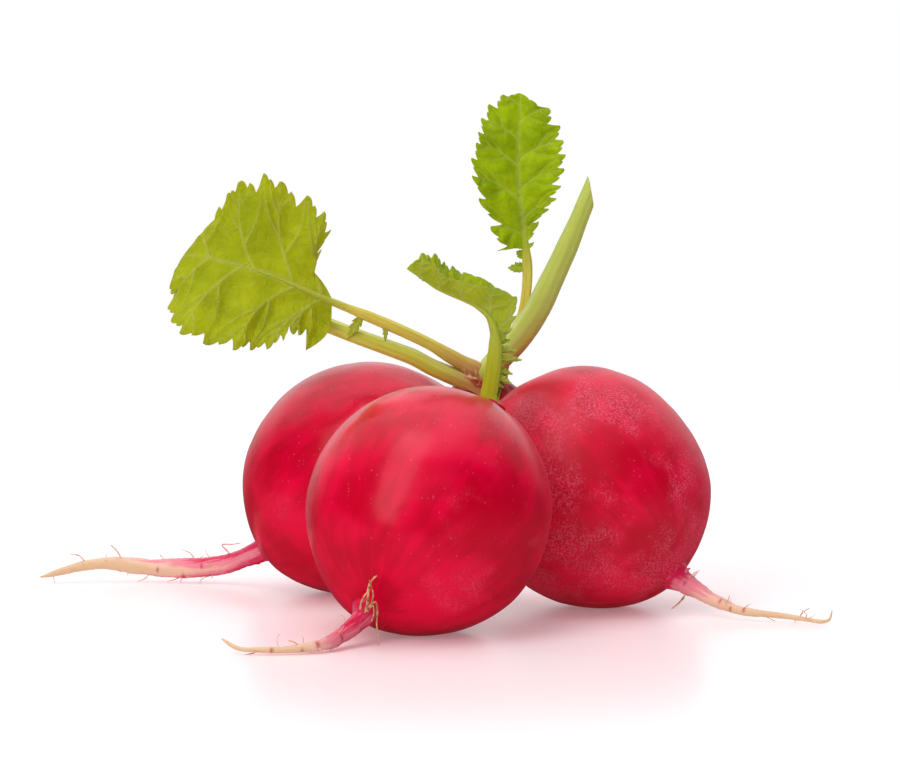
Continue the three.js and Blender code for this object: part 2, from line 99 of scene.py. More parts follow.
class Spine:
    """A smooth line, measured by the length run from its first place, and straight past its ends."""

    def __init__(self, places, facing):
        places = np.array(places, float)
        reached = np.vstack([2 * places[0] - places[1], places, 2 * places[-1] - places[-2]])
        t = np.linspace(0, 1, STEPS, endpoint=False)[:, None]
        spans = []
        for a, b, c, d in zip(reached, reached[1:], reached[2:], reached[3:]):
            ab, bc, cd = (math.sqrt(np.linalg.norm(q - p)) for p, q in ((a, b), (b, c), (c, d)))
            leaving = ((b - a) / ab - (c - a) / (ab + bc) + (c - b) / bc) * bc
            arriving = ((c - b) / bc - (d - b) / (bc + cd) + (d - c) / cd) * bc
            square = 3 * (c - b) - 2 * leaving - arriving
            cube = 2 * (b - c) + leaving + arriving
            spans.append(b + leaving * t + square * t**2 + cube * t**3)
        self.points = np.vstack([*spans, places[-1:]])
        steps = np.linalg.norm(np.diff(self.points, axis=0), axis=1)
        self.run = np.concatenate([[0], np.cumsum(steps)])
        self.length = self.run[-1]
        self.facing = np.array(facing, float)

    def run_to(self, place):
        """The length run to one of the places that the line was set by."""
        return self.run[place * STEPS]

    def place(self, s):
        s = np.asarray(s, float)
        i = np.clip(np.searchsorted(self.run, s) - 1, 0, len(self.run) - 2)
        share = ((s - self.run[i]) / (self.run[i + 1] - self.run[i]))[..., None]
        return self.points[i] * (1 - share) + self.points[i + 1] * share

    def frame(self, s):
        """Where the line is at s, the way it runs, and the two directions across it."""
        s = np.asarray(s, float)
        ahead = unit(self.place(s + LOOK) - self.place(s - LOOK))
        side = unit(np.cross(ahead, self.facing))
        return self.place(s), ahead, side, np.cross(side, ahead)

    def out(self, s, sideways, facewards):
        """The places that lie out from the line by the two given distances."""
        place, _, side, face = self.frame(s)
        sideways, facewards = np.asarray(sideways)[..., None], np.asarray(facewards)[..., None]
        return place + side * sideways + face * facewards


def held(values):
    """The values, kept between 0 and 1."""
    return np.clip(values, 0, 1)


def bell(values, width):
    """1 where a value is 0, and falling away smoothly over about the width on both sides."""
    return np.exp(-((values / width) ** 2))


def round_from(way, turn):
    """How far a turn is from a way, by the shorter way round."""
    return np.angle(np.exp(1j * (turn - way)))


def along(pairs, s):
    """A value that runs smoothly from one (position, value) pair to the next."""
    at, value = np.array(pairs, float).T
    i = np.clip(np.searchsorted(at, s) - 1, 0, len(at) - 2)
    share = held((s - at[i]) / (at[i + 1] - at[i]))
    return value[i] + (value[i + 1] - value[i]) * share * share * (3 - 2 * share)


def lumps(places, size, seed):
    """A gentle unevenness between about -1 and 1, with lumps of roughly the given size in mm."""
    random = np.random.default_rng(seed)
    waves = 9
    ways = unit(random.normal(size=(waves, 3)))
    lengths = size * random.uniform(1.4, 2.8, waves)
    phases = random.uniform(0, 2 * math.pi, waves)
    total = sum(np.sin(places @ w * (2 * math.pi / n) + p) for w, n, p in zip(ways, lengths, phases))
    return total / math.sqrt(waves)


# %% [markdown]
# ## Collecting skins into pieces
#
# A leaf is one living thing made of a stalk, a rib, a blade and leaflets. Joining objects would
# do, but gathering the skins first and making one mesh is quicker. Two vectors are kept at each
# corner of the mesh for the materials: "grain" says where it lies on the plant's own surface, and
# "marks" holds three amounts, such as how near the root's tip or how near a vein it is.

# %% Gather skins, then make one piece
def rows_of_quads(rows, columns, closed=False):
    """The faces of a grid of corners. A closed grid joins its last column to its first."""
    across = columns if closed else columns - 1
    row, i = np.meshgrid(np.arange(rows - 1) * columns, np.arange(across), indexing="ij")
    beside, above = (i + 1) % columns, row + columns
    return np.stack([row + i, row + beside, above + beside, above + i], -1).reshape(-1, 4)


class Growth:
    """Gathers the skins of one piece."""

    def __init__(self):
        self.places, self.grain, self.marks = [], [], []
        self.faces, self.finishes = [], []
        self.count = 0

    def add(self, places, faces, grain, marks, finish):
        places = np.asarray(places, float).reshape(-1, 3)
        self.places.append(places)
        for kept, values in ((self.grain, grain), (self.marks, marks)):
            kept.append(np.broadcast_to(np.reshape(values, (-1, 3)), places.shape))
        for face in faces:
            self.faces.append([int(c) + self.count for c in face])
            self.finishes.append(finish)
        self.count += len(places)

    def make(self, name, finishes):
        """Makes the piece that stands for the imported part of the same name."""
        corners = packed(np.vstack(self.places))
        mesh = bpy.data.meshes.new(name)
        mesh.from_pydata(corners.tolist(), [], self.faces)
        for key, values in (("grain", self.grain), ("marks", self.marks)):
            layer = mesh.attributes.new(key, "FLOAT_VECTOR", "POINT")
            layer.data.foreach_set("vector", np.vstack(values).astype(np.float32).ravel())
        for finish in finishes:
            mesh.materials.append(finish)
        mesh.polygons.foreach_set("material_index", self.finishes)
        mesh.polygons.foreach_set("use_smooth", [True] * len(mesh.polygons))
        mesh.update()
        piece = bpy.data.objects.new(name, mesh)
        bpy.context.scene.collection.objects.link(piece)
        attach(piece, "root")
        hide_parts(name)
        off = (np.array([corners.min(0), corners.max(0)]) - np.array(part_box(name))) / MM
        print(f"{name}: {len(self.faces)} faces, off its part by mm", off.round(2).tolist())
        return piece


def tube(growth, spine, s, radius, sides, shape, marks, finish=0):
    """A bent round skin with closed ends. shape gives what to add to the radius at each corner."""
    turn = np.linspace(0, 2 * math.pi, sides, endpoint=False)
    run, round_ = np.meshgrid(s, turn, indexing="ij")
    thick = np.repeat(np.asarray(radius, float)[:, None], sides, 1)
    if shape is not None:
        thick = thick + shape(run, round_, thick)
    skin = spine.out(run, thick * np.sin(round_), thick * np.cos(round_))
    ends = spine.place(np.array([s[0], s[-1]]))
    rows = len(s)
    faces = [quad[::-1] for quad in rows_of_quads(rows, sides, closed=True)]
    first, last = rows * sides, rows * sides + 1
    for i in range(sides):
        beside = (i + 1) % sides
        faces.append((first, beside, i))
        faces.append((last, (rows - 1) * sides + i, (rows - 1) * sides + beside))
    grain = np.stack([np.sin(round_), np.cos(round_), run], -1).reshape(-1, 3)
    grain = np.vstack([grain, [[0, 0, s[0]], [0, 0, s[-1]]]])
    if callable(marks):
        marks = marks(run, round_).reshape(-1, 3)
        marks = np.vstack([marks, marks[0], marks[-1]])
    growth.add(np.vstack([skin.reshape(-1, 3), ends]), faces, grain, marks, finish)


# %% [markdown]
# ## Materials from small steps
#
# The node editor shows a material as boxes and wires. In code the same tree is easier to read as
# a recipe: each step makes one node and hands its result to the next. Colours are written as a
# painter's mixing chart would give them, and turned into the linear values that light adds up in.

# %% A recipe for a material
def colour(code):
    """A colour code such as d0022a as linear red, green, blue and alpha."""
    values = [int(code[i : i + 2], 16) / 255 for i in (0, 2, 4)]
    return tuple(v / 12.92 if v <= 0.04045 else ((v + 0.055) / 1.055) ** 2.4 for v in values) + (1.0,)


class Recipe:
    """Builds the node tree of a material, or of the world, one step at a time."""

    def __init__(self, owner):
        owner.use_nodes = True
        self.owner, self.tree = owner, owner.node_tree
        self.tree.nodes.clear()

    def step(self, kind, settings=None, **inputs):
        """One node. Its inputs are given by name, or as _0, _1 and so on by their place."""
        node = self.tree.nodes.new("ShaderNode" + kind)
        for key, value in (settings or {}).items():
            setattr(node, key, value)
        for key, value in inputs.items():
            socket = node.inputs[int(key[1:]) if key[0] == "_" else key.replace("_", " ")]
            if isinstance(value, bpy.types.NodeSocket):
                self.tree.links.new(value, socket)
            else:
                socket.default_value = value
        return node

    def here(self):
        """Where a point lies in the piece, in millimetres."""
        where = self.step("TexCoord").outputs["Object"]
        return self.step("VectorMath", {"operation": "SCALE"}, Vector=where, Scale=1000).outputs[0]

    def grain(self):
        return self.step("Attribute", {"attribute_name": "grain"}).outputs["Vector"]

    def marks(self):
        """The three amounts kept at each corner."""
        vector = self.step("Attribute", {"attribute_name": "marks"}).outputs["Vector"]
        return self.step("SeparateXYZ", Vector=vector).outputs

    def stretched(self, vector, scales):
        return self.step("VectorMath", {"operation": "MULTIPLY"}, _0=vector, _1=scales).outputs[0]

    def noise(self, vector, scale, detail=3.0, roughness=0.55):
        shape = {"Scale": scale, "Detail": detail, "Roughness": roughness}
        return self.step("TexNoise", Vector=vector, **shape).outputs["Fac"]

    def cells(self, vector, scale, feature="F1"):
        return self.step("TexVoronoi", {"feature": feature}, Vector=vector, Scale=scale)

    def between(self, value, low, high, to_low=0.0, to_high=1.0):
        """The value rescaled smoothly from one range to another, and kept inside it."""
        settings = {"interpolation_type": "SMOOTHSTEP", "clamp": True}
        made = self.step("MapRange", settings, Value=value, _1=low, _2=high, _3=to_low, _4=to_high)
        return made.outputs[0]

    def maths(self, operation, a, b=0.0):
        return self.step("Math", {"operation": operation}, _0=a, _1=b).outputs[0]

    def plus(self, a, b):
        return self.maths("ADD", a, b)

    def times(self, *values):
        total = values[0]
        for value in values[1:]:
            total = self.maths("MULTIPLY", total, value)
        return total

    def mix(self, share, a, b, how="MIX"):
        """Two colours mixed by a share."""
        settings = {"data_type": "RGBA", "blend_type": how}
        return self.step("Mix", settings, _0=share, _6=a, _7=b).outputs[2]

    def layers(self, base, *over):
        """A colour with others laid over it, one by one, each as (share, colour code)."""
        base = colour(base) if isinstance(base, str) else base
        for share, code in over:
            base = self.mix(share, base, colour(code))
        return base

    def surface(self, tone, roughness, height, depth_mm, **more):
        """A surface of one colour, with small bumps of the given depth."""
        bumps = self.step("Bump", Height=height, Distance=depth_mm * MM).outputs[0]
        look = {"Base_Color": tone, "Roughness": roughness, "Normal": bumps, **more}
        return self.step("BsdfPrincipled", **look).outputs[0]

    def blend(self, share, a, b):
        """Two shaders mixed by a share."""
        return self.step("MixShader", _0=share, _1=a, _2=b).outputs[0]

    def finish(self, shader, owner="Material"):
        self.step("Output" + owner, Surface=shader)
        return self.owner


# %% [markdown]
# ## Radish skin
#
# The skin is a few cells thick, wet inside and waxy outside. It isn't one red: it runs from deep
# crimson to a bright pinkish red, brownish by the crown, and where it turns into the root it goes
# magenta, then pale pink with lengthwise streaks, and cream to straw at the tip. Small pale specks
# are its breathing pores. A dry skin shows a fine pale rubbing where it was washed, and these pale
# patches also carry painted sheen: the pale haze that light lays on a dull skin. A painted
# picture could hold this, but noise and cells in the skin's own millimetres need no picture and
# look right at any distance.

# %% The skin of a globe and its root
# The rubbed tone is pale pink for dry, washed skin and, in part, painted sheen: the pale haze of light
# on a dull skin.
SKIN_TONES = dict(deep="c80028", bright="e8003c", speck="f0809a", rubbed_and_sheen="ea6c8a", crown="7d2a2c")
ROOT_TONES = dict(magenta="dc1c54", pink="f08c9c", pale="f2c6b0", straw="e6c49c", scar="b41838")

# How many lumps of each noise there are to a millimetre, about.
BROAD, PATCHES, FINE, GRIT, PORES = 0.11, 0.09, 1.5, 3.1, 1.3

# Streaks are drawn out along the root: across it, across it, along it.
SKIN_STREAKS, ROOT_STREAKS = (9.0, 9.0, 0.12), (2.6, 2.6, 0.22)


def skin_material(name, rubbing_and_sheen, gloss):
    """The first argument is how much of the skin has the pale dry look and its painted sheen. gloss is
    the roughness of the rest.
    """
    r = Recipe(bpy.data.materials.new(name))
    here, grain = r.here(), r.grain()
    rootward, crownward, scar = r.marks()

    broad = r.noise(here, BROAD, 2.0)
    streaks = r.noise(r.stretched(grain, SKIN_STREAKS), 1.0, 3.0, 0.6)
    tone = r.between(r.plus(r.times(broad, 0.7), r.times(streaks, 0.3)), 0.38, 0.62)

    fine = r.noise(here, FINE, 4.0, 0.7)
    grit = r.noise(here, GRIT, 5.0, 0.75)
    least = 0.6 - 0.2 * rubbing_and_sheen
    patch = r.between(r.noise(here, PATCHES, 3.0, 0.65), least, least + 0.2)
    # Pale rubbed patches: dry skin, and painted sheen where light hazes the dull skin.
    rubbed_and_sheen = r.times(patch, r.between(grit, 0.44, 0.62), 0.2 + 0.45 * rubbing_and_sheen)

    pores = r.cells(here, PORES)
    picked = r.step("SeparateColor", Color=pores.outputs["Color"]).outputs[0]
    speck = r.times(r.between(pores.outputs["Distance"], 0.26, 0.04), r.between(picked, 0.6, 0.95), 0.27)
    browned = r.times(crownward, r.between(fine, 0.3, 0.7, 0.55, 0.95))
    skin = r.layers(
        SKIN_TONES["deep"],
        (tone, SKIN_TONES["bright"]),
        (rubbed_and_sheen, SKIN_TONES["rubbed_and_sheen"]),
        (speck, SKIN_TONES["speck"]),
        (browned, SKIN_TONES["crown"]),
    )

    lengthwise = r.noise(r.stretched(grain, ROOT_STREAKS), 1.0, 3.0, 0.65)
    shift = r.times(r.between(lengthwise, 0.3, 0.7, -0.08, 0.08), r.between(rootward, 0.12, 0.36))
    shifted = r.plus(rootward, shift)
    magenta = r.between(shifted, 0.03, 0.2)
    root = r.layers(
        ROOT_TONES["magenta"],
        (r.between(shifted, 0.24, 0.48), ROOT_TONES["pink"]),
        (r.between(shifted, 0.5, 0.72), ROOT_TONES["pale"]),
        (r.between(shifted, 0.72, 0.95), ROOT_TONES["straw"]),
    )
    skin = r.layers(r.mix(magenta, skin, root), (r.times(scar, 0.85), ROOT_TONES["scar"]))

    height = r.plus(r.times(fine, 0.5), r.times(streaks, 0.5))
    rough = r.plus(r.between(fine, 0.3, 0.7, gloss - 0.05, gloss + 0.05), r.times(patch, 0.12))
    rough = r.plus(rough, r.times(magenta, 0.14))
    waxy = r.surface(
        skin,
        rough,
        height,
        0.025,
        Specular_IOR_Level=0.08,
        Subsurface_Weight=0.08,
        Subsurface_Radius=(1.0, 0.25, 0.2),
        Subsurface_Scale=0.001,
        Coat_Weight=0.45,
        Coat_Roughness=gloss - 0.12,
        Coat_IOR=1.4,
        Sheen_Weight=0.05,
        Sheen_Roughness=0.35,
        Sheen_Tint=(1, 0.75, 0.85, 1),
    )
    return r.finish(waxy)


def dry_material():
    """Rootlets that dried up: brown and straw-coloured in patches."""
    r = Recipe(bpy.data.materials.new("dry_rootlet"))
    here = r.here()
    straw = r.layers("a8663c", (r.between(r.noise(here, 1.4), 0.36, 0.62), "e8ba84"))
    wrinkles = r.noise(r.stretched(here, (4, 4, 1)), 2.0, 4.0)
    return r.finish(r.surface(straw, 0.7, wrinkles, 0.03))


red_skin = skin_material("red_skin", 0.25, 0.32)
dull_red_skin = skin_material("dull_red_skin", 0.9, 0.43)
dry_rootlet = dry_material()
print("skins:", red_skin.name, dull_red_skin.name, dry_rootlet.name)

# %% [markdown]
# ## The three radishes
#
# A radish is a swollen stem: a globe that narrows to a neck at the crown and to the tap root
# below. A sphere with a cone stuck on would show a seam, so each radish is one bent skin: its
# radius is worked out at every length along a line that runs from crown to root tip, with the
# corner where globe and root meet rounded off. Then it gets what makes it real: a little
# unevenness, furrows by the crown, creases round the root and scars where side roots broke off.

# %% The radishes' sizes and roots
UP = (0, 0, 1)
GLOBE_SIDES = 168
STRAND_SIDES = 8
CROWN_HEIGHT = 1.4

# How far each unevenness lifts or sinks the skin, in mm, and the size of its lumps.
DENTS, DENT_SIZE = 0.14, 8
GRAIN, GRAIN_SIZE = 0.03, 2.2
FURROWS, FURROW_COUNT = 0.16, 9
NECK_RINGS, RING_SIZE = 0.35, 0.7
CREASES, CREASE_RATE = 0.025, 5.2
KNOBS, KNOB_SIZE = 0.06, 1.6
SCAR_LIFT = 0.12

# Above this pallor, a rootlet is dry.
DRY = 0.85

RADISHES = {}
RADISHES["radish_left"] = dict(
    centre=(-13.3, 18.3, 17.35),
    to_crown=(0.754, -0.3, 0.582),
    half_length=18.5,
    half_width=17.15,
    crown=(4.4, 9.0, 32.2),
    neck_radius=2.7,
    crown_from=0.9,
    root=[
        (-30.6, 26.0, 4.8), (-33.3, 28.0, 3.5), (-37.1, 29.0, 2.6), (-40.9, 29.5, 2.3),
        (-44.7, 30.0, 2.3), (-48.5, 30.3, 2.5), (-52.2, 30.5, 2.9), (-56.0, 30.3, 2.7),
        (-59.6, 29.5, 1.9), (-63.3, 28.5, 1.0),
    ],
    root_radii=[(0, 2.1), (2.5, 1.7), (6, 1.45), (16, 1.5), (24, 1.2), (31, 0.8), (39, 0.35)],
    flare=2.6,
    pale_side=(4.5, 0.7, 0.36),
    pallor=[(0, 0), (1.4, 0.16), (5, 0.2), (13, 0.3), (20, 0.54), (26, 0.74), (34, 0.92), (39, 1.0)],
    scars=[
        (3.5, 3.0, 0.5), (9, 3.5, 0.6), (13, 5.0, 0.5), (16, 3.9, 0.7), (20, 4.6, 0.5), (26, 3.4, 0.4),
    ],
    strands=[
        (0.2, 0.55, [
            (-29.4, 24, 5.5), (-28.7, 22.5, 6.3), (-27.7, 21, 7), (-26.7, 20.2, 7.7), (-27.2, 20.1, 7),
        ]),
        (0.12, 0.6, [
            (-33.6, 28, 4), (-34.2, 28, 5), (-35.1, 28, 6.1), (-33.6, 28, 6.2), (-32.2, 28, 6.4),
        ]),
        (0.11, 0.8, [
            (-50.7, 30, 3.5), (-51.7, 30, 5.1), (-52.4, 29.8, 5.8), (-51.7, 29.6, 5.3), (-50.8, 29.6, 4),
        ]),
        (0.1, 0.8, [(-40.9, 30, 1.6), (-42.1, 29.6, 0.7), (-43.7, 29, 0.3)]),
        (0.1, 0.8, [(-46.4, 30, 1.6), (-47.1, 29.7, 0.7), (-48.3, 29.2, 0.3)]),
        (0.1, 0.7, [(-39.3, 30, 3.3), (-40.2, 29.8, 4.6), (-41.4, 29.5, 5.2)]),
        (0.09, 0.9, [(-56.4, 30, 3.2), (-57.4, 29.8, 4.2), (-58.7, 29.6, 4.5)]),
        (0.5, 0.9, [(4.2, 7.8, 32.4), (3.4, 6.4, 33.3), (2.6, 5.8, 34.0), (2.2, 5.7, 34.9)]),
        (0.4, 0.95, [(4.6, 7.6, 32.2), (4.0, 6.0, 33.1), (3.3, 5.5, 33.6), (2.2, 5.4, 33.8)]),
        (0.32, 0.9, [(4.9, 7.8, 32.4), (4.3, 6.2, 33.7), (3.6, 5.8, 34.9)]),
    ],
    hairs=16,
    skin=red_skin,
    slot="red_skin",
    seed=3,
)
RADISHES["radish_front"] = dict(
    centre=(-2.95, -20.6, 17.0),
    to_crown=(0.475, 0.547, 0.69),
    half_length=17.7,
    half_width=17.0,
    crown=(6.5, -9.4, 31.1),
    neck_radius=2.0,
    crown_from=1.04,
    root=[
        (-12.0, -32.5, 3.7), (-14.8, -36.5, 1.8), (-17.0, -39.5, 1.1), (-19.3, -40.8, 0.9),
        (-22.5, -41.5, 0.7), (-25.7, -41.5, 0.7), (-28.4, -41.0, 0.8), (-30.8, -40.0, 2.0),
    ],
    root_radii=[
        (0, 1.8), (2, 1.5), (4.5, 1.25), (9, 1.0), (13, 0.75), (18, 0.45), (24, 0.3), (29, 0.16),
    ],
    flare=1.8,
    pale_side=(4.4, 0.8, 0.06),
    pallor=[(0, 0), (1.4, 0.24), (5, 0.3), (10, 0.4), (12.5, 0.6), (15, 0.82), (20, 0.95), (29, 1.0)],
    scars=[(5, 4.4, 0.5), (9, 4.9, 0.7), (13, 5.2, 0.6), (15, 4.3, 0.4), (19, 4.7, 0.5)],
    strands=[
        (0.2, 0.95, [
            (-11.4, -34.4, 5), (-11.1, -36, 7), (-11, -36.7, 8.6), (-10.4, -36.5, 9.6),
            (-9.9, -36.1, 10),
        ]),
        (0.13, 0.9, [(-10.9, -35, 5.4), (-10.4, -36.4, 7.4), (-10.6, -37, 8.5), (-10.9, -36.9, 9.5)]),
        (0.14, 0.9, [(-12.2, -34.6, 5.2), (-12, -35.8, 6.4), (-11.5, -36.4, 7.4), (-10.8, -36.4, 8.2)]),
        (0.13, 0.9, [
            (-11.6, -35.2, 4.8), (-10.6, -36.8, 6.2), (-10, -37.6, 6.6), (-9.8, -38, 5.2),
            (-9.9, -38.4, 3.6), (-9.6, -38.8, 2.2), (-9.6, -39.3, 0.9),
        ]),
        (0.1, 0.9, [(-11.2, -35.4, 5), (-10.4, -37, 6), (-10.3, -37.6, 5), (-10.6, -38, 4)]),
        (0.12, 0.7, [(-14.8, -37.4, 2.3), (-15.2, -38.6, 1), (-16.2, -39.5, 0.3)]),
        (0.1, 0.9, [(-20.1, -41, 0.8), (-20.7, -41.4, 1.6), (-21.7, -41.6, 2)]),
        (0.09, 0.9, [(-25.2, -41.5, 0.8), (-26.2, -42.2, 0.4), (-27.4, -42.6, 0.2)]),
    ],
    hairs=10,
    skin=red_skin,
    slot="red_skin",
    seed=5,
)
RADISHES["radish_right"] = dict(
    centre=(20.5, 5.2, 17.45),
    to_crown=(-0.653, 0.393, 0.648),
    half_length=18.35,
    half_width=17.05,
    crown=(7.4, 13.6, 31.6),
    neck_radius=2.4,
    crown_from=0.92,
    root=[
        (34.4, -3.3, 4.3), (36.2, -4.9, 3.4), (37.9, -6.5, 2.5), (39.8, -8.2, 1.8),
        (42.1, -10.0, 1.3), (45.2, -11.2, 1.1), (48.1, -12.2, 0.9), (50.6, -13.8, 0.7),
        (52.8, -15.2, 0.6), (53.7, -15.3, 0.9), (54.2, -15.0, 2.3),
    ],
    root_radii=[
        (0, 2.0), (2.4, 1.5), (5, 1.15), (9, 0.85), (13, 0.62), (18, 0.42), (24, 0.3), (29, 0.14),
    ],
    flare=2.3,
    pale_side=(2.4, 1.2, 0.18),
    pallor=[(0, 0), (1.6, 0.24), (3.5, 0.4), (6, 0.54), (9, 0.68), (13, 0.82), (20, 0.93), (29, 1.0)],
    scars=[(3, 1.2, 0.5), (9.5, 0.8, 0.5), (11.5, 1.6, 0.5), (13.5, 0.9, 0.5)],
    strands=[
        (0.16, 0.9, [(34.2, -3.6, 3.4), (33.8, -4.8, 2.6), (32.9, -5.8, 1.8), (31.9, -6.4, 1.1)]),
        (0.3, 0.4, [(34.1, -3.2, 5.8), (34.4, -4, 6.6), (34.7, -4.4, 6.7)]),
        (0.1, 0.8, [(34.7, -4, 5.4), (35.3, -4.8, 6.1), (36.1, -5.2, 6.6)]),
        (0.12, 0.8, [(39.7, -8.2, 2.2), (39.9, -8.8, 2.8), (40.1, -9.2, 3.5)]),
        (0.08, 0.9, [(44.2, -10.9, 1.4), (45.1, -11.8, 0.8), (46.3, -12.4, 0.3)]),
        (0.08, 0.9, [(49.7, -13.2, 1), (50.3, -13.9, 1.9), (51.1, -14.2, 2.4)]),
    ],
    hairs=10,
    skin=dull_red_skin,
    slot="dull_red_skin",
    seed=8,
)


# %% Grow the radishes
def smooth_max(a, b, width):
    """The larger of two values, with the corner between them rounded over the given width."""
    return (a + b + np.hypot(a - b, width)) / 2


def radish_spine(spec):
    centre = np.array(spec["centre"])
    to_crown = unit(np.array(spec["to_crown"]))
    axis = [centre + to_crown * share * spec["half_length"] for share in (1, 0.5, 0, -0.5, -1)]
    return Spine([spec["crown"], *axis, *spec["root"]], UP)


def radish_radius(spec, middle, s):
    """The radius of a radish at each length along its spine: crown, neck, globe and root."""
    share = (s - middle) / spec["half_length"]
    globe = spec["half_width"] * np.sqrt(held(1 - share * share))
    root = along(spec["root_radii"], s - middle - spec["half_length"])
    dome = held(s / CROWN_HEIGHT)
    neck = np.where(s < middle, spec["neck_radius"] * np.sqrt(dome * (2 - dome)), root)
    beyond = np.clip(np.abs(s - middle) - spec["half_length"], 0, None)
    width = spec["flare"] * np.exp(-beyond / 1.5) * np.minimum(1, neck)
    return smooth_max(globe, neck, width)


def strand(growth, line, thick, pallor, finish=0):
    """A rootlet or a hair: thin, tapering, a little knotty, and coloured as the root at that pallor."""
    spine = Spine(line, (0.37, -0.81, 0.44))
    s = np.linspace(0, spine.length, max(6, int(spine.length / 0.18)))
    taper = thick * (1 - 0.55 * (s / spine.length) ** 2)
    knots = 0.12 * thick * np.sin(s * 5.5 + pallor * 40)
    tube(growth, spine, s, taper + knots, STRAND_SIDES, None, (pallor, 0, 0), finish)


def radish(name, spec):
    spine = radish_spine(spec)
    middle = spine.run_to(3)
    globe_end = middle + spec["half_length"]
    seed = spec["seed"]
    neck = np.linspace(0.02, middle - spec["half_length"], 40, endpoint=False)
    globe = middle - spec["half_length"] * np.cos(np.linspace(0, math.pi, 150))
    root = np.linspace(globe_end + 0.25, spine.length - 0.1, int((spine.length - globe_end) / 0.25))
    s = np.concatenate([neck, globe, root])

    def from_root(run):
        return run - globe_end

    def unevenness(run, turn, thick):
        places = spine.out(run, thick * np.sin(turn), thick * np.cos(turn))
        share = (run - middle) / spec["half_length"]
        on_globe = held(1.05 - np.abs(share)) ** 0.5
        dents = DENTS * lumps(places, DENT_SIZE, seed) + GRAIN * lumps(places, GRAIN_SIZE, seed + 1)
        crown = bell(share + 0.93, 0.13)
        wobble = 1.2 * lumps(places, 6, seed + 2)
        furrows = crown * FURROWS * np.cos(FURROW_COUNT * turn + wobble) * np.minimum(1, thick / 5)
        neck_rings = held(-share - 1) ** 0.5 * NECK_RINGS * lumps(places, RING_SIZE, seed + 3)
        rooty = held((from_root(run) + 3) / 3) * np.minimum(1, thick / 1.2)
        wander = 2.2 * lumps(places, 2.0, seed + 4)
        creases = rooty * CREASES * np.sin(run * CREASE_RATE + wander)
        knobs = rooty * KNOBS * lumps(places, KNOB_SIZE, seed + 5)
        scars = sum(scar_at(run, turn, scar, thick) for scar in spec["scars"])
        tip = -0.75 * thick * held(1 - (spine.length - run) / 2.5) ** 2
        return on_globe * dents + furrows + neck_rings + creases + knobs + SCAR_LIFT * scars + tip

    def scar_at(run, turn, scar, thick):
        at, way, size = scar
        off = round_from(way, turn) * np.maximum(thick, 0.4)
        return np.exp(-(((from_root(run) - at) / (0.4 * size)) ** 2) - (off / (0.85 * size)) ** 2)

    def marks(run, turn):
        rootward = along(spec["pallor"], from_root(run))
        way, spread, paler = spec["pale_side"]
        beside = bell(round_from(way, turn), spread)
        rootward = rootward + paler * beside * held(rootward * 4)
        share = (run - middle) / spec["half_length"]
        crownward = held((-share - spec["crown_from"]) / 0.14)
        thick = radish_radius(spec, middle, run)
        scar = held(sum(scar_at(run, turn, one, thick) for one in spec["scars"]))
        return np.stack([rootward, crownward, scar], -1)

    growth = Growth()
    radius = radish_radius(spec, middle, s)
    tube(growth, spine, s, radius, GLOBE_SIDES, unevenness, marks)
    for thick, pallor, line in spec["strands"]:
        strand(growth, line, thick, pallor, int(pallor > DRY))
    random = np.random.default_rng(seed + 40)
    for _ in range(spec["hairs"]):
        at = globe_end + random.uniform(1.5, spine.length - globe_end - 2)
        place, ahead, side, face = spine.frame(at)
        turn = random.uniform(-math.pi, math.pi)
        out = side * math.sin(turn) + face * math.cos(turn)
        start = place + out * (float(radish_radius(spec, middle, np.array([at]))[0]) - 0.1)
        reach = random.uniform(0.5, 1.7)
        bend = random.normal(size=(2, 3)) * 0.28 * reach
        lean = out + ahead * random.uniform(-0.7, 0.9)
        line = [start, start + lean * 0.5 * reach + bend[0], start + lean * reach + bend[1] + bend[0]]
        strand(growth, line, random.uniform(0.05, 0.09), random.uniform(0.6, 0.95))
    for places in growth.places:
        places[:, 2] = np.maximum(places[:, 2], 0)
    growth.make(name, [spec["skin"], dry_rootlet])


for name, spec in RADISHES.items():
    radish(name, spec)

# %% [markdown]
# ## Leaf and stalk finishes
#
# A young radish leaf is thin enough to glow when light comes through it, so its finish mixes a
# surface that reflects with one that lets light through. The marks at each corner give the veins,
# the edge and the underside, which is paler and greyer. Between the side veins a fine net closes
# the leaf into little fields, and a Voronoi pattern's cell borders are just such a net.

# %% The finishes of blades and stalks
YELLOW_TONES = dict(dark="b2c000", light="d6de10", under="ced62c", vein="dee07c", edge="c6be34")
GREEN_TONES = dict(dark="a6c200", light="d0e612", under="c4d83c", vein="dae672", edge="b8c428")
# The woolly tones are greyer, the edge most of all: partly the front leaf's own woolly grey and partly
# painted sheen, light glancing off the blade.
WOOLLY_SHEEN_TONES = dict(dark="a8c200", light="d2e214", under="c4d348", vein="d4de8c", edge="bccb88")
YOUNG_TONES = dict(dark="4f7a10", light="6f951f", under="6f9140", vein="a3b862", edge="7c8c2c")
THROUGH_TINT = "d2dc00"


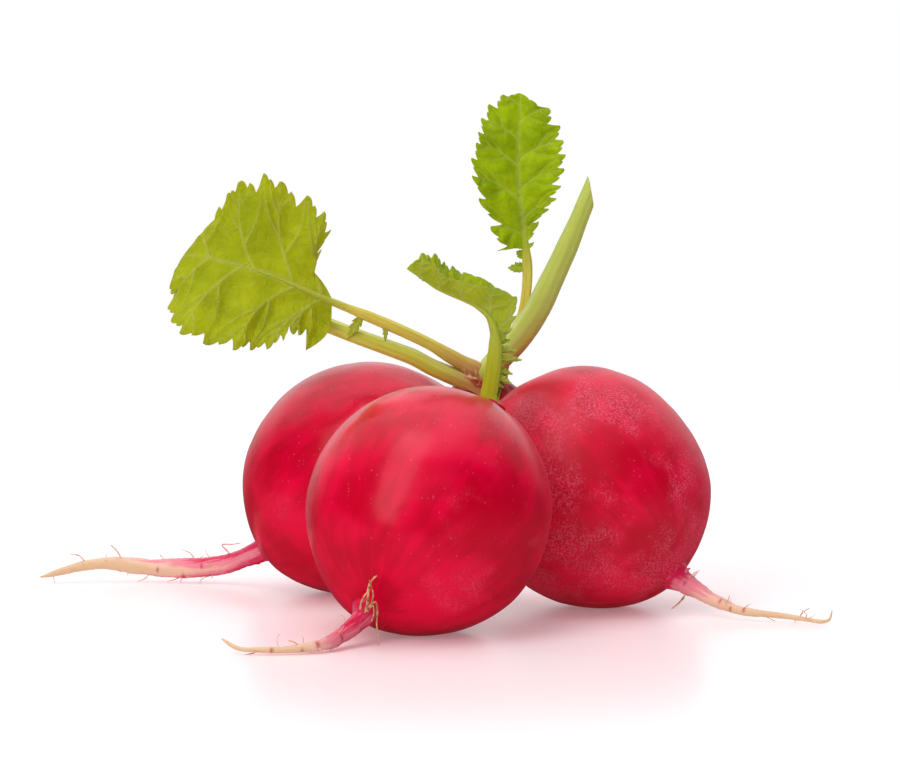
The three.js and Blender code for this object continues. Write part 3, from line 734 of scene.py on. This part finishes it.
def blade_material(name, tones, glow):
    """glow is the share of the light that comes through the blade."""
    r = Recipe(bpy.data.materials.new(name))
    here, flat = r.here(), r.grain()
    vein, edge, under = r.marks()
    patches = r.noise(here, 0.3, 3.0, 0.6)
    warp = r.step("TexNoise", Vector=flat, Scale=0.8, Detail=1.0).outputs["Color"]
    moved = r.step("VectorMath", {"operation": "MULTIPLY_ADD"}, _0=warp, _1=(1.4, 1.4, 0), _2=flat)
    coarse, small = (
        r.cells(moved.outputs[0], scale, "DISTANCE_TO_EDGE").outputs["Distance"] for scale in (0.75, 1.9)
    )
    net = r.maths("MAXIMUM", r.between(coarse, 0.07, 0.0), r.times(r.between(small, 0.08, 0.0), 0.5))
    green = r.layers(
        tones["dark"],
        (r.between(patches, 0.25, 0.75), tones["light"]),
        (r.times(under, 0.35), tones["under"]),
        (r.times(net, 0.2), tones["vein"]),
        (r.times(vein, 0.7), tones["vein"]),
        (r.times(edge, 0.3), tones["edge"]),
    )
    fine = r.noise(here, 4.0, 3.0, 0.6)
    field = r.maths("SUBTRACT", r.between(coarse, 0.0, 0.35), r.times(net, 0.6))
    height = r.plus(field, r.times(fine, 0.25))
    surface = r.surface(green, 0.45, height, 0.06, Specular_IOR_Level=0.06)
    tint = r.mix(0.4, green, colour(THROUGH_TINT), "MULTIPLY")
    through = r.step("BsdfTranslucent", Color=tint).outputs[0]
    return r.finish(r.blend(glow, surface, through))


def stalk_material(name, pale, deep, foot):
    """A ribbed stalk. Its first mark is 1 at its foot in the crown and 0 where it is all green."""
    r = Recipe(bpy.data.materials.new(name))
    here, grain = r.here(), r.grain()
    footward, cut, bladeward = r.marks()
    ribs = r.noise(r.stretched(grain, (1.6, 1.6, 0.05)), 1.0, 3.0, 0.6)
    blotch = r.noise(here, 0.5)
    green = r.layers(
        deep,
        (r.between(ribs, 0.25, 0.7), pale),
        (r.times(r.between(blotch, 0.5, 0.75), 0.3), deep),
        (bladeward, "b4bf3c"),
        (r.times(footward, r.between(ribs, 0.3, 0.7, 0.6, 1.0)), foot),
        (cut, "dfe6b4"),
    )
    height = r.plus(ribs, r.times(r.noise(here, 3.0), 0.3))
    soft = {"Specular_IOR_Level": 0.35, "Subsurface_Weight": 0.12, "Subsurface_Scale": 0.001}
    return r.finish(r.surface(green, 0.38, height, 0.025, **soft))


yellow_blade = blade_material("leaf_yellow_green", YELLOW_TONES, 0.45)
# The front leaf's blade: its grey edge tone is partly painted sheen.
woolly_sheen_blade = blade_material("leaf_woolly_green_sheen", WOOLLY_SHEEN_TONES, 0.35)
green_blade = blade_material("leaf_green", GREEN_TONES, 0.45)
young_blade = blade_material("young_leaf_green", YOUNG_TONES, 0.3)
ochre_stalk = stalk_material("ochre_stalk", "e4dc66", "d6c444", "bc5c6c")
green_stalk = stalk_material("green_stalk", "c6d234", "acb810", "c0b040")
yellow_stalk = stalk_material("yellow_stalk", "dade64", "c8ca3c", "cc9c88")
cut_stalk = stalk_material("cut_stalk", "c8d268", "bac850", "c8bc6c")
print("leaf finishes:", yellow_blade.name, woolly_sheen_blade.name, green_blade.name, young_blade.name)
print("stalk finishes:", ochre_stalk.name, green_stalk.name, yellow_stalk.name, cut_stalk.name)

# %% [markdown]
# ## Trimmed stalks
#
# Two leaves were cut off with a knife. What is left is a ribbed stalk with a groove down its inner
# side. It could be modelled as a curve with a bevel, but a bevel can't taper and groove at once as
# easily as a tube whose radius is worked out for every direction. The knife's plane slices it, and
# the new face is filled and gets the pale wet look of a fresh cut.

# %% The trimmed stalks
STALK_SIDES = 48
CUT_RIM, CUT_SUNK = 0.22 * MM, 0.08 * MM

STALKS = {}
STALKS["stalk_left"] = dict(
    line=[
        (4.6, 9.2, 31.6), (3.2, 8.7, 32.6), (1.4, 8.1, 33.4), (-0.6, 7.4, 34.3), (-2.8, 6.9, 35.3),
        (-5.3, 6.3, 36.7), (-7.8, 5.9, 37.7), (-13.2, 5.3, 39.7), (-19.6, 4.8, 42.2),
    ],
    facing=(0.3, -0.2, 0.9),
    stalk=[(0, 1.5), (4, 1.4), (10, 1.3), (20, 1.2), (28, 1.15)],
    cut=((-18.6, 4.8, 41.8), (-0.9, 0, 0.3)),
    foot=8,
    skin=yellow_stalk,
)
STALKS["stalk_right"] = dict(
    line=[
        (4.7, 9.2, 31.6), (5.6, 8.9, 34.4), (7.4, 8.6, 36.6), (9.2, 8.2, 38.6), (11.0, 7.6, 40.9),
        (12.8, 7.0, 43.8), (14.5, 6.5, 47.4), (16.1, 6.0, 50.8), (17.6, 5.5, 54.2), (19.0, 5.0, 57.6),
        (20.4, 4.6, 61.2), (21.9, 4.3, 65.2),
    ],
    facing=(-0.8, -0.2, 0.5),
    stalk=[(0, 1.6), (4, 1.9), (9, 2.05), (16, 1.95), (24, 1.72), (31, 1.4), (36, 1.2)],
    cut=((20.5, 4.7, 61.2), (0.92, 0, 0.17)),
    foot=3,
    skin=cut_stalk,
)


def stalk(growth, spine, widths, foot, blade_from=math.inf):
    """A leaf stalk: rounded and ribbed below, and grooved along the side that faced inwards."""
    s = np.linspace(0, spine.length, int(spine.length / 0.3) + 2)

    def grooves(run, turn, thick):
        angle = round_from(0, turn)
        groove = -0.3 * thick * bell(angle, 0.55)
        ribs = 0.022 * thick * np.cos(9 * angle + 0.4 * np.sin(run * 0.25))
        return groove + ribs

    def marks(run, turn):
        footward = held(1 - run / foot)
        bladeward = held((run - blade_from + 4) / 5)
        return np.stack([footward, 0 * run, bladeward], -1)

    tube(growth, spine, s, along(widths, s), STALK_SIDES, grooves, marks)


def slice_off(piece, at, out):
    """Cuts a piece with a plane, takes off what lies past it and closes the cut."""
    work = bmesh.new()
    work.from_mesh(piece.data)
    knife = {"plane_co": packed(at), "plane_no": Vector(out).normalized(), "clear_outer": True}
    whole = work.verts[:] + work.edges[:] + work.faces[:]
    cut = bmesh.ops.bisect_plane(work, geom=whole, **knife)
    rim = [e for e in cut["geom_cut"] if isinstance(e, bmesh.types.BMEdge)]
    new = bmesh.ops.contextual_create(work, geom=rim)["faces"]
    inner = bmesh.ops.inset_region(work, faces=new, thickness=CUT_RIM, depth=-CUT_SUNK)["faces"]
    marks = work.verts.layers.float_vector["marks"]
    for face in new:
        for corner in face.verts:
            corner[marks] = (0, 1, 0)
    for face in [*new, *inner]:
        face.smooth = False
    work.to_mesh(piece.data)
    work.free()
    print(piece.name, "cut faces:", sum(len(f.vertices) > 20 for f in piece.data.polygons))


for name, spec in STALKS.items():
    growth = Growth()
    stalk(growth, Spine(spec["line"], spec["facing"]), spec["stalk"], spec["foot"])
    slice_off(growth.make(name, [spec["skin"]]), *spec["cut"])

# %% [markdown]
# ## Leaves
#
# Each leaf is drawn pressed flat, as a botanist draws it: where each tooth's tip lies along and out
# from the rib, and where its side vein leaves the rib. From that flat drawing come the notched
# edge, the veins and the puckered fields between them. Then the flat drawing is bent: round the
# rib's own line in space, folded along the rib, and rolled back at the tip where the real leaf is.

# %% The leaves as drawn flat, and the lines of their ribs
LEAVES = {}
LEAVES["leaf_left"] = dict(
    line=[
        (4.7, 9.3, 32.0), (4.0, 9.1, 34.2), (2.5, 8.5, 35.2), (-0.3, 7.6, 36.9), (-2.9, 6.8, 38.5),
        (-7.3, 5.5, 40.7), (-12.0, 4.2, 42.8), (-17.2, 2.6, 45.0), (-21.8, 1.6, 47.1),
        (-26.2, 1.2, 49.0), (-30.5, 1.2, 50.3), (-34.9, 1.6, 51.4), (-39.3, 2.4, 52.3),
        (-43.0, 3.2, 53.0),
    ],
    facing=(0.05, 1, -0.25),
    stalk=[
        (0, 1.5), (3, 1.4), (6, 1.1), (11, 0.85), (17, 0.85), (21, 0.8), (25, 0.58), (31, 0.4),
        (36, 0.2), (48, 0.05),
    ],
    blade_from=7,
    left=[
        (4.2, 2.9), (4.6, 6.4), (4.5, 9.6), (6.6, 11.5), (9.2, 12.8, 0.5), (12.3, 13.3, 0.7),
        (14.6, 13.8, 0.5), (17.6, 11.6, 0.7), (19.0, 9.6), (22.4, 7.4), (24.6, 4.0),
    ],
    right=[
        (1.2, 8.4), (4.4, 6.6, 0.8), (4.8, 8.6), (6.3, 10.8), (8.6, 12.0), (11.8, 13.1), (16.2, 13.3),
        (19.9, 12.6), (21.9, 10.7), (23.2, 8.6), (24.8, 4.5),
    ],
    feet=[2.6, 6.4, 7.6, 8.8, 10.2, 12, 14, 16.5, 19, 21.5, 24],
    reach=26.6,
    notch=0.42,
    pucker=0.35,
    base_swell=(0.05, 0.17),
    finishes=[ochre_stalk, yellow_blade],
    fold=(-0.1, -0.1),
    curl=-0.012,
    wave=0.5,
    roll={"from": 15.8, "angle": 0.39, "radius": 3.9, "free_from": 6.5, "freeing": 0.85, "bulge": 2.4},
    leaflets=[(22.0, 0.1, 4.4, 0.95, 0.15), (18.3, -0.1, 2.6, 0.5, -0.4)],
    across=70,
    foot=11,
)
LEAVES["leaf_upright"] = dict(
    line=[
        (8.2, 14.0, 30.6), (7.6, 14.1, 33.0), (8.3, 14.0, 36.0), (9.7, 13.7, 39.5), (11.0, 13.3, 43.6),
        (11.5, 12.8, 48.2), (11.3, 12.3, 52.2), (10.8, 12.0, 56.6), (10.2, 11.8, 61.1),
        (10.1, 11.9, 65.5), (10.2, 12.3, 69.9), (10.4, 13.0, 75.2),
    ],
    facing=(0.1, -1, 0),
    stalk=[(0, 1.35), (3, 1.0), (6, 0.8), (14, 0.72), (20, 0.75), (24, 0.45), (32, 0.25), (44, 0.08)],
    blade_from=6,
    left=[
        (0.4, 4.7), (4.3, 5.2), (8.5, 6.5), (11.2, 7.5), (13.6, 7.5), (15.6, 6.7), (17.1, 6.5),
        (19.2, 6.0), (21.3, 4.8), (22.9, 2.6),
    ],
    right=[
        (1.0, 1.3), (4.0, 2.3), (5.6, 4.1), (7.0, 5.4), (9.2, 6.3), (12.1, 6.9), (14.2, 7.0),
        (16.4, 6.6), (18.6, 6.1), (21.2, 4.2),
    ],
    feet=[0.6, 3.0, 5.5, 7.5, 9, 11, 13, 15.5, 18, 21],
    reach=23.3,
    notch=0.5,
    pucker=0.6,
    base_swell=(-0.08, 0.1),
    finishes=[ochre_stalk, green_blade],
    fold=(0.16, 0.16),
    curl=0.02,
    wave=0.35,
    leaflets=[(19.6, 3.3, 3.0, 1.0, 0.0), (21.2, 3.5, 1.9, 0.9, 0.6)],
    across=44,
    foot=3,
)
LEAVES["leaf_front"] = dict(
    line=[
        (6.1, -9.7, 29.6), (5.6, -9.5, 31.9), (5.9, -9.6, 34.0), (6.3, -9.8, 36.7), (6.5, -10.0, 39.5),
        (6.3, -10.2, 42.1), (5.2, -10.4, 44.2), (3.0, -10.8, 45.6), (0.7, -11.4, 46.6),
        (-1.8, -12.2, 47.7), (-3.6, -12.9, 48.9), (-5.4, -13.6, 50.2),
    ],
    facing=(0.7, 0.1, 0.7),
    stalk=[(0, 1.5), (4, 1.25), (8, 1.15), (10, 1.0), (12, 0.7), (15, 0.4), (18, 0.26), (30, 0.06)],
    blade_from=4,
    left=[
        (1.6, 1.6), (3.2, 3.4), (4.6, 4.9), (6.2, 4.0, 0.15), (8.2, 2.8, 0.05), (10.2, 2.5, 0.05),
        (12.2, 2.5, 0.05), (14.0, 2.7, 0.08), (16.0, 3.0, 0.15), (17.6, 2.8, 0.3),
    ],
    right=[
        (1.4, 1.5), (3.0, 3.0), (4.6, 4.1), (6.2, 4.4, 0.1), (8.0, 4.1, 0.05), (9.8, 4.2, 0.08),
        (11.6, 4.7, 0.25), (13.6, 4.1, 0.45), (15.6, 4.4, 0.3), (17.4, 3.6, 0.4),
    ],
    feet=[1.0, 2.6, 4.0, 5.4, 7.4, 9.4, 11.4, 13.2, 15.2, 17.0],
    reach=18.5,
    notch=0.36,
    pucker=0.5,
    base_swell=(0.1, 0.1),
    finishes=[green_stalk, woolly_sheen_blade],
    fold=(1.05, 0.9),
    curl=0.02,
    wave=0.55,
    leaflets=[
        (11.2, 1.8, 2.8, 0.9, 0.5), (10.1, 1.4, 2.2, 0.6, 0.3), (9.2, 1.7, 3.0, 0.8, 0.1),
        (8.0, 1.8, 3.9, 0.9, 0.1), (7.2, 1.2, 2.0, 0.6, 0.2), (6.5, 1.6, 2.8, 0.7, -0.1),
        (5.6, 1.9, 3.0, 0.8, -0.2), (4.7, 1.4, 1.9, 0.5, -0.3),
    ],
    across=32,
    foot=2,
)
LEAVES["young_leaf"] = dict(
    line=[(6.6, -8.7, 29.2), (6.6, -7.8, 31.8), (7.2, -7.6, 33.6), (8.2, -7.3, 35.8)],
    facing=(-0.5, -0.8, 0.1),
    stalk=[(0, 0.6), (1.6, 0.5), (3.2, 0.42), (4.6, 0.3), (6, 0.15)],
    blade_from=1,
    left=[(1.2, 0.6), (2.3, 0.75), (3.3, 0.5)],
    right=[(1.2, 0.6), (2.3, 0.75), (3.3, 0.5)],
    feet=[0.8, 1.8, 2.9],
    reach=3.9,
    notch=0.2,
    pucker=0.05,
    base_swell=(0.1, 0.1),
    finishes=[green_stalk, young_blade],
    fold=(0.5, 0.5),
    curl=0,
    wave=0,
    leaflets=[],
    across=8,
    foot=1,
)
print("teeth:", {name: len(leaf["left"]) + len(leaf["right"]) for name, leaf in LEAVES.items()})


# %% The edge of a blade, and the bends of its surface
TOOTH = [
    (0.0, 0.0), (0.03, 0.3), (0.08, 0.72), (0.15, 1.0), (0.22, 0.78), (0.3, 0.54), (0.38, 0.38),
    (0.46, 0.29), (0.51, 0.22), (0.54, 0.38), (0.57, 0.48), (0.63, 0.3), (0.71, 0.1), (0.8, -0.04),
    (0.89, -0.08), (0.95, -0.05),
]

BASE_HALF_WIDTH = 0.2
LAST_NOTCH = 0.2


def blade_edge(leaf, half):
    """The edge of one half of a blade, as rows of (foot on the rib, s, w), from its base to its tip.

    From one tooth's tip to the next it drops into a narrow notch, rises over a shoulder with a
    small second tooth, and swells out to the next tip.
    """
    rows = []
    before = np.array([0, 0, BASE_HALF_WIDTH])
    reach = leaf["reach"]
    tips = [(foot, *tip[:2]) for foot, tip in zip(leaf["feet"], leaf[half])] + [(reach, reach, 0)]
    depths = [tip[2] if len(tip) > 2 else leaf["notch"] for tip in leaf[half]] + [LAST_NOTCH]
    for i, tip in enumerate(tips):
        tip = np.array(tip, float)
        ahead = (tip - before)[1:]
        for t, inward in TOOTH:
            foot, s, w = before + (tip - before) * t
            if i:
                home = np.array([foot - s, -w])
                room = np.hypot(*home)
                move = home * min(inward * depths[i] * np.hypot(*ahead), 0.8 * room) / room
            else:
                swell = leaf["base_swell"][half == "right"] * math.sin(math.pi * t)
                move = np.array([-ahead[1], ahead[0]]) * swell
            rows.append((foot, s + move[0], w + move[1]))
        before = tip
    rows.append(before)
    return np.array(rows, float)


def on_blade(leaf, spine, start, s, w, lift=0.0):
    """Places on the middle surface of a blade for points of the flat drawing, raised by lift."""
    s, w = np.asarray(s, float), np.asarray(w, float)
    out, side = np.abs(w), np.sign(w)
    run, across = s, w
    lift = lift + leaf["wave"] * np.sin(s * 0.9 + side) * np.minimum(1, out / 6) ** 2
    if "roll" in leaf:
        roll = leaf["roll"]
        cos, sin, radius = math.cos(roll["angle"]), math.sin(roll["angle"]), roll["radius"]
        free = roll["freeing"] * np.maximum(0, -w - roll["free_from"])
        bulge = roll["bulge"] * held(1 - ((w + 1) / 8) ** 2)
        beyond = np.maximum(0, s * cos - w * sin - roll["from"] - bulge - free)
        shift = radius * np.sin(beyond / radius) - beyond
        run = run + shift * cos
        across = across - shift * sin
        lift = lift + radius * (1 - np.cos(beyond / radius))
    bend = np.where(w < 0, *leaf["fold"]) + leaf["curl"] * out
    return spine.out(start + run, across * np.cos(bend), out * np.sin(bend) + lift)


# %% The veins of a blade
VEIN_SLANT, VEIN_BOW, BRANCH_BOW = 0.45, 0.09, 0.08
VEIN_WIDTH, WIDTH_EACH_MM, BRANCH_WIDTH = 0.13, 0.006, 0.62

# Each branch: where it leaves its vein, which neighbouring tooth it goes to, and how far it gets.
BRANCHES = [(6, 1, 0.94), (4, -1, 0.94), (9, 1, 0.5), (10, -1, 0.55)]


def vein_lines(leaf):
    """The side veins of the flat drawing and their branches, as (points, half-width at the foot)."""
    lines = []
    t = np.linspace(0, 1, 14)[:, None]
    for side, half in ((-1, "left"), (1, "right")):
        tips = np.array([tip[:2] for tip in leaf[half]], float)
        for i in range(1, len(tips), 2):
            tip = tips[i] * (0.985, 0.97)
            foot = np.array([max(0.04 * leaf["reach"], tip[0] - VEIN_SLANT * tip[1]), 0])
            ahead = tip - foot
            bow = np.array([ahead[1], -ahead[0]]) * VEIN_BOW
            wander = 0.02 * np.hypot(*ahead) * np.sin(7 * t + i)
            vein = foot + ahead * t + bow * np.sin(math.pi * t) + wander * t * (1 - t) * (1, -1)
            size = VEIN_WIDTH + WIDTH_EACH_MM * np.hypot(*ahead)
            lines.append((vein * (1, side), size))
            for share, beside, reach in BRANCHES:
                j = np.clip(i + beside, 0, len(tips) - 1)
                goal = tip + (tips[j] - tip) * reach
                off = goal - vein[share]
                side_bow = np.array([off[1], -off[0]]) * BRANCH_BOW * beside
                branch = vein[share] + off * t * 0.96 + side_bow * np.sin(math.pi * t)
                lines.append((branch * (1, side), size * BRANCH_WIDTH))
    return lines


def vein_amount(lines, s, w):
    """How much of a vein lies at each point of the flat drawing, from 0 to 1, and how near one is."""
    amount, nearest = np.zeros(s.shape), np.full(s.shape, 9.0)
    for points, size in lines:
        low, high = points.min(0) - 1.6, points.max(0) + 1.6
        box = (s > low[0]) & (s < high[0]) & (w > low[1]) & (w < high[1])
        if not box.any():
            continue
        p = np.stack([s[box], w[box]], -1)
        best, where = np.full(len(p), 9.0), np.zeros(len(p))
        steps = len(points) - 1
        for k in range(steps):
            a, b = points[k], points[k + 1]
            t = held(((p - a) @ (b - a)) / max((b - a) @ (b - a), 1e-9))
            d = np.linalg.norm(p - a - t[:, None] * (b - a), axis=1)
            where = np.where(d < best, (k + t) / steps, where)
            best = np.minimum(best, d)
        width = size * (1 - 0.65 * where)
        amount[box] = np.maximum(amount[box], bell(best, width) * (1 - 0.45 * where))
        nearest[box] = np.minimum(nearest[box], best / (0.35 + 2.5 * size))
    return amount, nearest


# %% A blade, a leaflet and a whole leaf
HALF_THICKNESS = 0.16
SUNK, RAISED = 0.08, 0.12


def blade(growth, leaf, spine, start, across, finish):
    """A leaf's blade as one thin closed skin, with sunk veins above, raised ones below and puckers."""
    halves = [blade_edge(leaf, "left"), blade_edge(leaf, "right")]
    rows, columns = len(halves[0]), 2 * across + 1
    step = np.arange(-across, across + 1)
    share = np.abs(step) / across
    foot, s, w = (np.where(step < 0, halves[0][:, [k]], halves[1][:, [k]]) for k in range(3))
    flat_s = foot + (s - foot) * share
    flat_w = w * share * np.sign(step)
    veins, nearest = vein_amount(vein_lines(leaf), flat_s, flat_w)
    out = np.abs(flat_w)
    along_rib = held(flat_s / leaf["reach"])
    rib_width = 0.5 - 0.3 * along_rib
    rib = bell(out, rib_width) * (1 - 0.5 * along_rib)
    size = min(1, leaf["reach"] / 15)
    pucker = size * leaf["pucker"] * (1 - bell(nearest, 1)) * np.minimum(1, out / 2) * (1 - share**8)
    toothed = held((share - 0.93) / 0.07) * np.ones((rows, 1))
    thin = HALF_THICKNESS * (1 - 0.45 * share**6)
    grain = np.stack([flat_s, flat_w, 0 * flat_s], -1).reshape(-1, 3)
    first = growth.count
    faces = rows_of_quads(rows, columns)
    for under in (0, 1):
        relief = size * (RAISED if under else SUNK) * veins
        lift = pucker + (-thin - relief if under else thin - relief)
        places = on_blade(leaf, spine, start, flat_s, flat_w, lift)
        marks = np.stack([np.maximum(veins, rib), toothed, np.full(veins.shape, float(under))], -1)
        growth.add(places, faces if under == 0 else faces[:, ::-1], grain, marks.reshape(-1, 3), finish)
    lower = rows * columns
    rims = [first + np.arange(rows) * columns, first + np.arange(rows) * columns + columns - 1]
    for rim, way in zip(rims, (1, -1)):
        for a, b in zip(rim, rim[1:]):
            growth.faces.append([int(c) for c in (a, b, b + lower, a + lower)][::way])
            growth.finishes.append(finish)


def leaflet(growth, spine, spec, finish):
    """A small toothed blade on the side of a leaf stalk, rooted inside it."""
    at, turn, length, width, lean = spec
    place, ahead, side, face = spine.frame(at)
    out = unit(side * math.cos(turn) + face * math.sin(turn) + ahead * lean)
    normal = np.cross(ahead, out)
    facing = 0.8 * normal + 0.6 * ahead
    places = [place + out * length * k - normal * 0.2 * length * k * k for k in (0, 0.35, 0.7, 1)]
    tips = [(0.4 * length, width), (0.64 * length, 0.85 * width), (0.84 * length, 0.4 * width)]
    small = {
        "left": tips,
        "right": tips,
        "feet": [0.3 * length, 0.55 * length, 0.8 * length],
        "reach": length,
        "notch": 0.4,
        "base_swell": (0, 0),
        "fold": (0.3, 0.3),
        "curl": 0.1,
        "wave": 0.1,
        "pucker": 0.05,
    }
    blade(growth, small, Spine(places, facing), 0, 8, finish)


RIB_SUNK = 0.2
RIB_SHORT_OF_TIP = 0.9


def rib_line(leaf, spine, start):
    """The middle line of a leaf with the bends of its blade, which its rib follows."""
    places = [np.array(p, float) for p in leaf["line"][: leaf["blade_from"] + 1]]
    steps = math.ceil(leaf["reach"] / 2.5)
    end = leaf["reach"] - RIB_SHORT_OF_TIP
    for i in range(1, steps + 1):
        sunk = -RIB_SUNK * min(1, i / 2) * (1 - i / steps)
        places.append(on_blade(leaf, spine, start, end * i / steps, 0.0, sunk))
    return Spine(places, leaf["facing"])


for name, leaf in LEAVES.items():
    growth = Growth()
    spine = Spine(leaf["line"], leaf["facing"])
    start = spine.run_to(leaf["blade_from"])
    stalk(growth, rib_line(leaf, spine, start), leaf["stalk"], leaf["foot"], start)
    blade(growth, leaf, spine, start, leaf["across"], 1)
    for spec in leaf["leaflets"]:
        leaflet(growth, spine, spec, 1)
    growth.make(name, leaf["finishes"])

# %% [markdown]
# ## Floor, light and camera
#
# The bunch lies on a bright white surface in a white room. A tall soft light stands to the left
# in front, a broad one hangs overhead, and the room is bright behind and dim in front, which is
# what gives a glossy globe its deep red middle. Light that comes off the globes lays a pink glow
# on the surface round them. Here that glow is painted: near the bunch the surface itself is tinted
# pink and glows a little, and it fades to plain white further out.

# %% The surface
WHITE = (1, 1, 1, 1)
FLOOR_RADIUS = 0.4
FADE_FROM, FADE_TO = 62, 130
bpy.ops.mesh.primitive_circle_add(vertices=96, radius=FLOOR_RADIUS, fill_type="NGON", location=(0, 0, 0))
floor = bpy.context.object
floor.name = "white_surface"
floor.visible_glossy = False
r = Recipe(bpy.data.materials.new("white_surface"))
# Painted glow: near the bunch the surface is tinted pink and glows a little, standing for red light
# thrown off the globes.
near = r.step(
    "BsdfPrincipled",
    Base_Color=(0.92, 0.84, 0.86, 1),
    Roughness=0.3,
    Emission_Color=(1, 0.85, 0.9, 1),
    Emission_Strength=0.18,
)
far = r.step("Emission", Color=WHITE, Strength=1.1)
from_middle = r.step("VectorMath", {"operation": "LENGTH"}, _0=r.here()).outputs["Value"]
fade = r.between(from_middle, FADE_FROM, FADE_TO)
floor.data.materials.append(r.finish(r.blend(fade, near.outputs[0], far.outputs[0])))

# %% The room's light
BRIGHT_WAY = (0, 0.55, 0.83)
DIM, BRIGHT, SEEN = 0.02, 1.2, 1.0
LESS_ON_DULL = 0.3
MIDDLE = (0, 0, 0.03)
world = bpy.data.worlds.new("room")
bpy.context.scene.world = world
r = Recipe(world)
way = r.step("TexCoord").outputs["Generated"]
behind = r.step("VectorMath", {"operation": "DOT_PRODUCT"}, _0=way, _1=BRIGHT_WAY).outputs["Value"]
ray = r.step("LightPath").outputs
dulled = r.maths("SUBTRACT", 1.0, r.times(ray["Is Diffuse Ray"], LESS_ON_DULL))
room = r.times(r.between(behind, 0.3, 0.85, DIM, BRIGHT), dulled)
strength = r.step("Mix", _0=ray["Is Camera Ray"], _2=room, _3=SEEN).outputs[0]
glow = r.step("Background", Color=WHITE, Strength=strength)
r.finish(glow.outputs[0], "World")


def aim(name, data, place, target):
    """Puts a light or a camera at a place, looking at another."""
    thing = bpy.data.objects.new(name, data)
    thing.location = place
    thing.rotation_euler = (Vector(target) - Vector(place)).to_track_quat("-Z", "Y").to_euler()
    bpy.context.scene.collection.objects.link(thing)
    return thing


def soft_light(name, place, size, power):
    """A rectangular soft light, aimed at the middle of the bunch."""
    data = bpy.data.lights.new(name, "AREA")
    data.shape = "RECTANGLE"
    data.size, data.size_y = size
    data.energy = power
    return aim(name, data, place, MIDDLE)


soft_light("tall_left", (-0.28, -0.4, 0.5), (0.34, 1.2), 2.9)
soft_light("overhead", (-0.05, 0.0, 0.75), (0.8, 0.7), 1.0)
fill = soft_light("fill", (-0.1, -0.6, 0.4), (0.9, 0.5), 1.5)
fill.visible_glossy = False

# %% The camera
TARGET = packed((0, 0, 32.3))
DISTANCE = 0.5
ELEVATION = math.radians(4.6)
SENSOR, LENS = 36, 137.6
eye = Vector(TARGET) + DISTANCE * Vector((0, -math.cos(ELEVATION), math.sin(ELEVATION)))
data = bpy.data.cameras.new("camera")
data.sensor_width, data.lens = SENSOR, LENS
bpy.context.scene.camera = aim("camera", data, eye, TARGET)
bpy.context.scene.view_settings.view_transform = "Standard"
print("camera at, mm:", [round(v / MM, 1) for v in eye])
